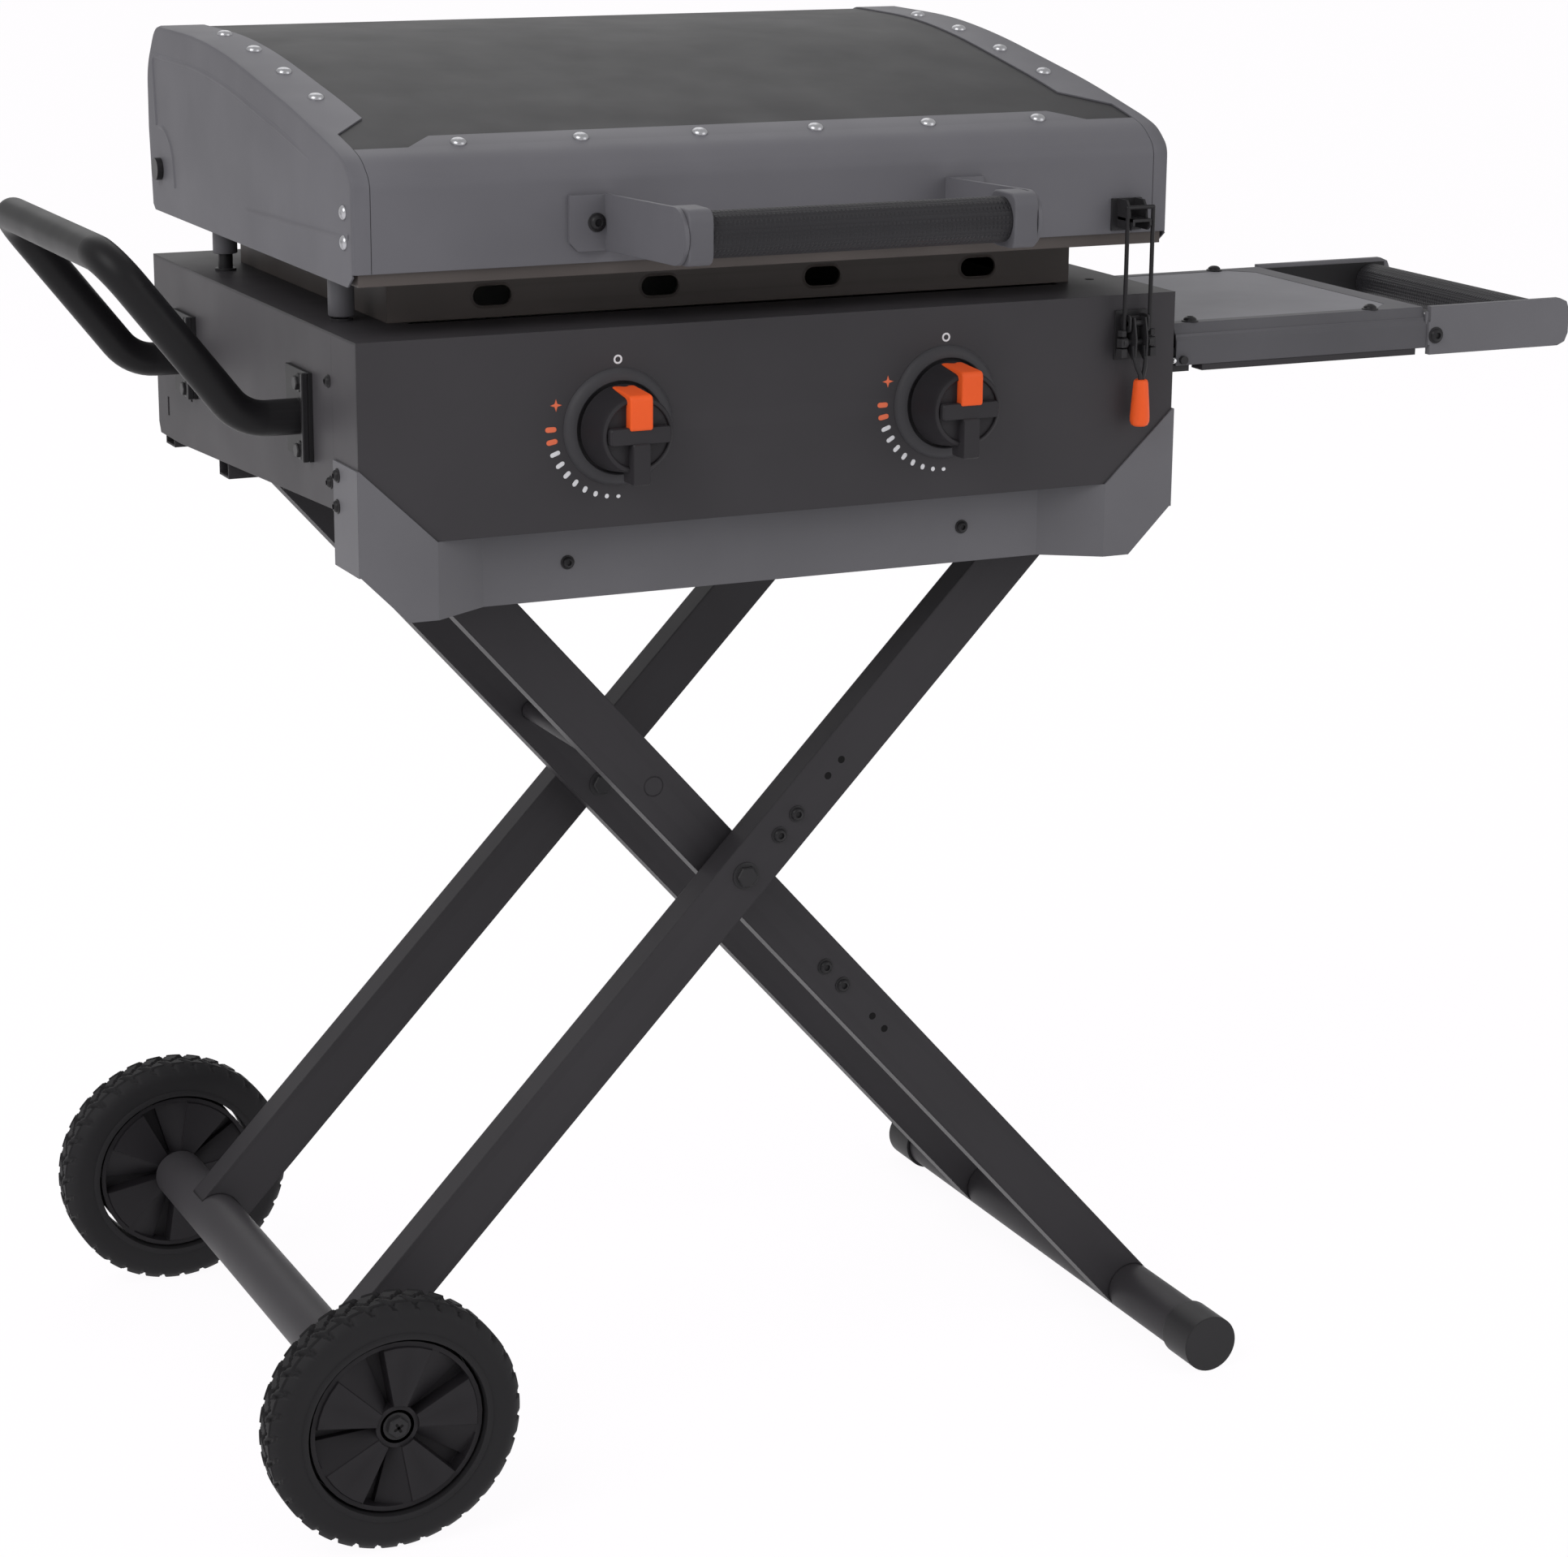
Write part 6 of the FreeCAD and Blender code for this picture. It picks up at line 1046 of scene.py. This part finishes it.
@dataclass
class Shelf:
    """The folding shelf: tray, arms and grip."""

    left: float = 306.0
    right: float = 516.6
    front: float = 6.0
    back: float = 242.0
    top: float = 789.0
    base: float = 760.0
    rim: float = 15.0
    end_rim: float = 18.0
    bevel: float = 6.0
    corner: float = 0.6
    cut: float = 16.0
    sink: float = 5.5
    sheet: float = 1.5

    def build(self, shop: Workshop) -> None:
        """Make the tray, the bolts and the grip.

        Args:
            shop: The workshop.
        """
        shop.dress(LEG_COAT, "shelf_rails")
        shop.dress(BOLT_COAT, "shelf_hinges")
        shop.dress(GREY_COAT, "shelf_handle_arms")
        self._tray(shop)
        bolts = Form()
        for x in (323.0, 473.6):
            for y in (17.0, 231.0):
                bolts.button_bolt(Axis.Z, (x, y), self.top, 3.4, 5.0)
        bolts.button_bolt(Axis.Y, (523.0, 769.0), self.front - 1.5, -3.4, 5.0)
        shop.make(bolts, "shelf_bolt_heads", BOLT_COAT, "shelf", ["shelf_bolts"])
        grip = Form().lathe([(13.6, 9.5), (14.0, 12.0), (14.0, 236.0), (13.6, 238.5)], Axis.Y,
                            (622.0, 772.0), 64)
        shop.make(grip, "shelf_grip_sleeve", GRIP_PLASTIC, "shelf", ["shelf_grip"])
        # Thin black plates on the arms' inner faces: painted shade that darkens those faces.
        arm_shades = Form()
        for y in ((9.8, 10.4), (237.6, 238.2)):
            arm_shades.block((521.0, 634.0), y, (757.0, 787.0))
        shop.make(arm_shades, "shelf_arm_inner_shade", TUBE_COAT, "shelf")
        ends = Form()
        for y in ((self.front + 0.2, self.front + 2.4), (self.back - 2.4, self.back - 0.2)):
            ends.block((self.right - 1.5, 519.5), y, (self.base + 0.5, self.top - 3.0))
        shop.make(ends, "shelf_arm_ends", GREY_COAT, "shelf")
        ball = Form().dome(Axis.Y, (303.9, 764.0), 8.0, -5.0, 2.6)
        shop.make(ball, "shelf_hinge_ball", BRIGHT, "base")

    def _tray(self, shop: Workshop) -> None:
        """Tray with bevelled edges, and its sunk top with cut corners."""
        right = self.right

        def outline(inset: float, corner: float, end: float) -> list[Flat]:
            """Rectangle moved in from the tray's sides, with cut corners at its outer end."""
            low, high, far = self.front + inset, self.back - inset, right - end
            return [(self.left, low), (far - corner, low), (far, low + corner),
                    (far, high - corner),
                    (far - corner, high), (self.left, high)]

        def ring(line: Sequence[Flat], z: float) -> list[Point]:
            """The outline at a height."""
            return [(x, y, z) for x, y in line]

        top, floor = self.top, self.top - self.sink
        skirt, rim = outline(0.0, self.corner, 0.0), outline(self.bevel, self.corner, self.corner)
        recess = outline(self.rim, self.cut, self.end_rim)
        sunk = outline(self.rim + 2.5, self.cut, self.end_rim + 2.5)
        shell = Form().skin([ring(skirt, self.base), ring(skirt, top - 12.0), ring(rim, top),
                             ring(recess, top),
                             ring(recess, top - 0.6)], ends=False)
        inside = outline(self.sheet, self.corner, self.sheet)
        shell.skin([ring(skirt, self.base), ring(inside, self.base), ring(inside, top - 13.5)],
                   ends=False)
        shell.skin([ring(inside, top - 13.5), ring(inside, floor - self.sheet)])
        shop.make(shell, "shelf_tray_shell", TRAY_COAT, "shelf", ["shelf_tray"], soften=0.8,
                  crease=20.0)
        bowl = Form().skin([ring(recess, top - 0.3), ring(sunk, floor),
                            ring(sunk, floor - self.sheet)])
        shop.make(bowl, "shelf_top_panel", SHELF_COAT, "shelf")


@dataclass
class Legs:
    """The scissor legs with their bolts, and near-black discs of painted shade for their open holes."""

    pivot: Flat = (3.3, 407.0)
    wheel_slope: float = 46.1
    foot_slope: float = 48.1
    wheel_y: Flat = (65.0, 361.0)
    foot_y: Flat = (96.0, 330.0)
    depth: float = 23.4

    def build(self, shop: Workshop) -> None:
        """Dress the legs and add the bolts, and dark discs of painted shade for the holes.

        Args:
            shop: The workshop.
        """
        shop.dress(LEG_COAT, "foot_leg_front", "foot_leg_rear", "wheel_leg_front",
                   "wheel_leg_rear",
                   "foot_leg_tubes")
        shop.dress(AXLE_COAT, "wheel_leg_tubes")
        shop.dress(CAP_RUBBER, "foot_caps")
        wheel, foot = Form(), Form()
        wheel_hole_shades, foot_hole_shades = Form(), Form()
        for along in (37.5, 57.0):
            wheel.button_bolt(Axis.Y, self.spot(along, self.wheel_slope, 1.0), self.wheel_y[0],
                              -3.4, 5.0)
        for along in (92.0, 107.0):
            # Near-black discs on the legs paint the shade inside their open holes.
            spot = self.spot(along, self.wheel_slope, 1.0)
            wheel_hole_shades.lathe([(2.7, self.wheel_y[0] + 0.3), (2.7, self.wheel_y[0] - 0.08),
                               (0.0, self.wheel_y[0] - 0.08)], Axis.Y, spot, 20)
        for along in (117.5, 139.0):
            foot.button_bolt(Axis.Y, self.spot(along, self.foot_slope, -1.0), self.foot_y[0],
                             -3.4, 5.0)
        # Near-black discs on the legs paint the shade inside their open holes.
        for along in (176.0, 191.0):
            spot = self.spot(along, self.foot_slope, -1.0)
            foot_hole_shades.lathe([(2.7, self.foot_y[0] + 0.3), (2.7, self.foot_y[0] - 0.08),
                              (0.0, self.foot_y[0] - 0.08)], Axis.Y, spot, 20)
        span = 2.0 * self.depth + 7.6
        for start in (self.wheel_y[0], self.foot_y[1]):
            for face, rise in ((start, -4.4), (start + span, 4.4)):
                foot.hex_bolt(Axis.Y, self.pivot, face, rise, 8.0)
            foot.lathe([(12.0, start + self.depth + 0.1), (12.0, start + self.depth + 7.5)],
                       Axis.Y, self.pivot, 40)
        shop.make(wheel, "wheel_leg_bolt_heads", BOLT_COAT, "wheel_legs", ["wheel_leg_bolts"])
        shop.make(wheel_hole_shades, "wheel_leg_hole_shades", HOLE_SHADE, "wheel_legs")
        shop.make(foot, "leg_pivot_bolt_heads", BOLT_COAT, "foot_legs", ["leg_pivot_bolts"])
        shop.make(foot_hole_shades, "foot_leg_hole_shades", HOLE_SHADE, "foot_legs")

    def spot(self, along: float, slope: float, up: float) -> Flat:
        """Place on a leg's middle line.

        Args:
            along: Distance from the scissor pivot.
            slope: Slope of the leg in degrees.
            up: One above the pivot, minus one below it.

        Returns:
            The place as X and Z.
        """
        angle = math.radians(slope)
        return (self.pivot[0] + along * math.cos(angle),
                self.pivot[1] + up * along * math.sin(angle))


@dataclass
class Wheel:
    """One wheel: a tyre with zigzag blocks on a moulded disc with slanted blades."""

    end: str
    outward: float
    radius: float = 89.0
    rim: float = 63.0
    width: float = 36.0
    blocks: int = 34
    tread: float = 2.6
    blades: int = 5
    turn: float = 0.626
    blade_line: tuple[Flat, ...] = ((0.0, 3.4), (0.12, 3.4), (0.24, 3.4), (0.36, 3.4),
                                    (0.49, 3.4), (0.498, 4.6),
                                    (0.58, 6.2), (0.67, 8.0), (0.76, 9.8), (0.84, 11.4),
                                    (0.845, 16.0),
                                    (0.92, 16.0), (0.99, 16.0))

    def build(self, shop: Workshop) -> None:
        """Make the tyre and the disc.

        Args:
            shop: The workshop.
        """
        low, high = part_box("tyre_" + self.end)
        middle = (low + high) / 2.0
        centre = ((middle.x - shop.origin.x) / MM, middle.z / MM)
        across = (middle.y - shop.origin.y) / MM
        shop.make(self._tyre(centre, across), "tyre_" + self.end + "_rubber", TYRE,
                  "wheel_" + self.end, ["tyre_" + self.end], crease=50.0)
        shop.make(self._disc(centre, across), "wheel_disc_" + self.end, WHEEL,
                  "wheel_" + self.end, ["wheel_hub_" + self.end], crease=28.0)
        self._nut(centre, across, shop)

    def _tyre(self, centre: Flat, across: float) -> Form:
        """Tyre with a zigzag groove and slanted block gaps.

        Args:
            centre: Axle place as X and Z.
            across: Middle of the wheel from front to back.

        Returns:
            The tyre.
        """
        half = self.width / 2.0
        flank = [(self.rim, -half + 4.0, 0.0), (self.rim + 0.5, -half + 1.2, 0.0),
                 (self.rim + 3.5, -half + 0.4, 0.0),
                 (self.rim + 5.0, -half + 1.4, 0.0), (self.rim + 7.0, -half + 0.8, 0.0),
                 (self.radius - 10.5, -half + 0.1, 0.0), (self.radius - 7.5, -half + 0.5, 0.0),
                 (self.radius - 4.0, -half + 2.2, 0.25), (self.radius - 1.5, -half + 5.0, 1.0)]
        crown = [(self.radius - 0.25 * (abs(v) / 12.0) ** 2, v, 1.0)
                 for v in (-11.6 + 23.2 * i / 13.0 for i in range(14))]
        profile = [*flank, *crown, *[(r, -v, k) for r, v, k in reversed(flank)]]
        steps = self.blocks * 12
        rings = []
        for i in range(steps):
            angle = 2.0 * math.pi * i / steps
            phase = (i / 12.0) % 1.0
            ring = []
            for r, v, share in profile:
                zigzag = 3.4 * (abs(2.0 * phase - 1.0) * 2.0 - 1.0)
                slant = (phase + 0.045 * abs(v)) % 1.0
                groove = abs(v - zigzag) < 1.3 or (slant < 0.2 and abs(v) > 2.0)
                rib = abs(abs(v) - 9.6) < 0.9
                drop = self.tread * share if groove or rib else 0.0
                ring.append(Axis.Y.point(centre[0] + (r - drop) * math.cos(angle),
                                         centre[1] + (r - drop) * math.sin(angle), across + v))
            rings.append(ring)
        return Form().skin(rings, loop=True)

    def _disc(self, centre: Flat, across: float) -> Form:
        """Rim and disc with five raised blades, each beside a deep slit.

        Args:
            centre: Axle place as X and Z.
            across: Middle of the wheel from front to back.

        Returns:
            The disc.
        """
        half = self.width / 2.0
        form = Form()
        lip = [(self.rim + 1.0, -half + 5.0), (self.rim + 0.3, -half + 2.4),
               (self.rim - 0.8, -half + 1.6),
               (self.rim - 2.4, -half + 1.8), (self.rim - 3.4, -half + 3.4),
               (self.rim - 4.0, -half + 8.0)]
        form.lathe([*lip, *[(r, -v) for r, v in reversed(lip)]], Axis.Y, centre, 120, loop=True)
        for face in (-1.0, 1.0):
            rings = []
            for r in (12.0, 15.0, 15.2, 30.0, 45.0, 57.0, 57.8, self.rim - 2.0):
                ring = []
                for blade in range(self.blades):
                    for share, depth in self.blade_line:
                        angle = 2.0 * math.pi * (blade + share + self.turn) / self.blades
                        flat = depth if 15.1 < r < 57.2 else 5.0
                        ring.append(Axis.Y.point(centre[0] + r * math.cos(-face * self.outward * angle),
                                                 centre[1] + r * math.sin(-face * self.outward * angle),
                                                 across + face * (half - flat)))
                rings.append(ring)
            form.skin(rings, ends=False)
        boss = [(15.4, -half + 9.0), (15.0, -half + 4.4), (13.8, -half + 3.4), (11.4, -half + 3.6),
                (10.6, -half + 6.2), (6.2, -half + 6.4)]
        form.lathe([*boss, *[(r, -v) for r, v in reversed(boss)]], Axis.Y, centre, 48, loop=True)
        return form

    def _nut(self, centre: Flat, across: float, shop: Workshop) -> None:
        """Washer and hexagonal nut in the boss, with a near-black cross of painted shade for the recess
        on the outer face.

        Args:
            centre: Axle place as X and Z.
            across: Middle of the wheel from front to back.
            shop: The workshop.
        """
        face = across + self.outward * (self.width / 2.0 - 6.2)
        tip = face + self.outward * 4.4
        form = Form().lathe([(9.8, face), (9.8, face + self.outward * 1.0),
                             (0.0, face + self.outward * 1.0)],
                            Axis.Y, centre, 40)
        form.taper(circle(centre[0], centre[1], 7.8, 6, 0.3), Axis.Y, face, tip, 0.8)
        shop.make(form, "wheel_nut_" + self.end, BOLT_COAT, "wheel_" + self.end)
        # The cross is a thin near-black plate: painted shade for the recess in the nut.
        cross = Form()
        for lean in (0.5, 0.5 + math.pi / 2.0):
            cross.plate(pill(centre[0], centre[1], 7.6, 1.9, lean), Axis.Y,
                        tip - self.outward * 0.4,
                        tip + self.outward * 0.06)
        shop.make(cross, "wheel_nut_cross_shade_" + self.end, HOLE_SHADE, "wheel_" + self.end)


@dataclass
class Axle:
    """The bar that carries both wheels."""

    radius: float = 6.0
    short: float = 11.0

    def build(self, shop: Workshop) -> None:
        """Make the bar, with its ends inside the wheels.

        Args:
            shop: The workshop.
        """
        low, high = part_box("axle")
        middle = ((low.x + high.x) / 2.0 - shop.origin.x) / MM
        level = (low.z + high.z) / 2.0 / MM
        start, end = ((value - shop.origin.y) / MM for value in (low.y, high.y))
        bar = Form().lathe([(self.radius, start + self.short), (self.radius, end - self.short)],
                           Axis.Y,
                           (middle, level), 32)
        shop.make(bar, "axle_bar", BOLT_COAT, "wheel_legs", ["axle"])


@dataclass
class Studio:
    """Camera, lights and floor."""

    place: Point = (-1.1805, -2.47415, 1.1976)
    azimuth: float = -25.374
    elevation: float = 15.536
    roll: float = 0.474
    lens: float = 87.80

    def build(self) -> None:
        """Set the camera, the lights, the floor and the view."""
        self._camera()
        self._floor()
        self._lamp("key", (-3.2, -1.6, 3.4), 2.6, 72.0)
        self._lamp("fill", (2.6, -3.4, 2.2), 3.0, 30.0)
        self._lamp("back", (0.6, 3.2, 3.2), 3.0, 22.0)
        world = bpy.data.worlds.new("studio")
        world.use_nodes = True
        world.node_tree.nodes["Background"].inputs["Color"].default_value = (1.0, 1.0, 1.0, 1.0)
        world.node_tree.nodes["Background"].inputs["Strength"].default_value = 0.62
        bpy.context.scene.world = world
        bpy.context.scene.view_settings.view_transform = "Standard"

    def _camera(self) -> None:
        """Camera at the photograph's place and angle."""
        a, e, r = (math.radians(v) for v in (self.azimuth, self.elevation, self.roll))
        forward = Vector((-math.sin(a) * math.cos(e), math.cos(a) * math.cos(e), -math.sin(e)))
        level = Vector((math.cos(a), math.sin(a), 0.0))
        up = level.cross(forward)
        right = level * math.cos(r) + up * math.sin(r)
        top = up * math.cos(r) - level * math.sin(r)
        data = bpy.data.cameras.new("camera")
        data.lens = self.lens
        data.sensor_width = 36.0
        data.sensor_fit = "HORIZONTAL"
        camera = bpy.data.objects.new("camera", data)
        bpy.context.scene.collection.objects.link(camera)
        turn = Matrix((right, top, -forward)).transposed().to_4x4()
        camera.matrix_world = Matrix.Translation(self.place) @ turn
        bpy.context.scene.camera = camera

    def _lamp(self, name: str, place: Point, size: float, power: float) -> None:
        """Square lamp that looks at the middle of the object.

        Args:
            name: Name of the lamp.
            place: Where it stands, in metres.
            size: Length of its sides in metres.
            power: Power in watts.
        """
        data = bpy.data.lights.new(name, "AREA")
        data.size = size
        data.energy = power
        lamp = bpy.data.objects.new(name, data)
        bpy.context.scene.collection.objects.link(lamp)
        lamp.location = place
        lamp.rotation_euler = (Vector((0.0, 0.0, 0.5)) - Vector(place)).to_track_quat("-Z",
                                                                                      "Y").to_euler()

    def _floor(self) -> None:
        """Pale floor that glows toward the camera, so that it shows as white with a soft shadow."""
        form = Form().block((-30000.0, 30000.0), (-30000.0, 30000.0), (-20.0, 0.0))
        mesh = bpy.data.meshes.new("floor")
        for corner in form.mesh.verts:
            corner.co *= MM
        form.mesh.to_mesh(mesh)
        form.mesh.free()
        floor = bpy.data.objects.new("floor", mesh)
        bpy.context.scene.collection.objects.link(floor)
        paint = bpy.data.materials.new("pale floor")
        paint.use_nodes = True
        tree = paint.node_tree
        tree.nodes.clear()
        out = tree.nodes.new("ShaderNodeOutputMaterial")
        dull = tree.nodes.new("ShaderNodeBsdfDiffuse")
        dull.inputs["Color"].default_value = (0.86, 0.86, 0.87, 1.0)
        glow = tree.nodes.new("ShaderNodeEmission")
        glow.inputs["Color"].default_value = (1.0, 0.985, 1.0, 1.0)
        glow.inputs["Strength"].default_value = 1.03
        ray = tree.nodes.new("ShaderNodeLightPath")
        mix = tree.nodes.new("ShaderNodeMixShader")
        share = tree.nodes.new("ShaderNodeMath")
        share.operation = "MULTIPLY"
        share.inputs[1].default_value = 0.93
        seen = ray.outputs["Is Camera Ray"]
        for also in ("Is Glossy Ray", "Is Transmission Ray"):
            either = tree.nodes.new("ShaderNodeMath")
            either.operation = "MAXIMUM"
            tree.links.new(seen, either.inputs[0])
            tree.links.new(ray.outputs[also], either.inputs[1])
            seen = either.outputs["Value"]
        tree.links.new(seen, share.inputs[0])
        tree.links.new(share.outputs["Value"], mix.inputs["Fac"])
        tree.links.new(dull.outputs["BSDF"], mix.inputs[1])
        tree.links.new(glow.outputs["Emission"], mix.inputs[2])
        tree.links.new(mix.outputs["Shader"], out.inputs["Surface"])
        mesh.materials.append(paint)


def main() -> None:
    """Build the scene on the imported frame."""
    logging.basicConfig(level=logging.INFO, format="%(message)s")
    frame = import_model()
    shop = Workshop(frame)
    Studio().build()
    BodyShell().build(shop)
    for side, middle in (("left", -120.6), ("right", 120.6)):
        Knob(side, middle).build(shop)
    Hood().build(shop)
    shop.dress(BOLT_COAT, "hood_hinge_pins")
    HoodHandle().build(shop)
    DrawLatch().build(shop)
    SideHandle().build(shop)
    Shelf().build(shop)
    Legs().build(shop)
    Wheel("front", -1.0).build(shop)
    Wheel("rear", 1.0).build(shop)
    Axle().build(shop)


if __name__ == "__main__":
    main()
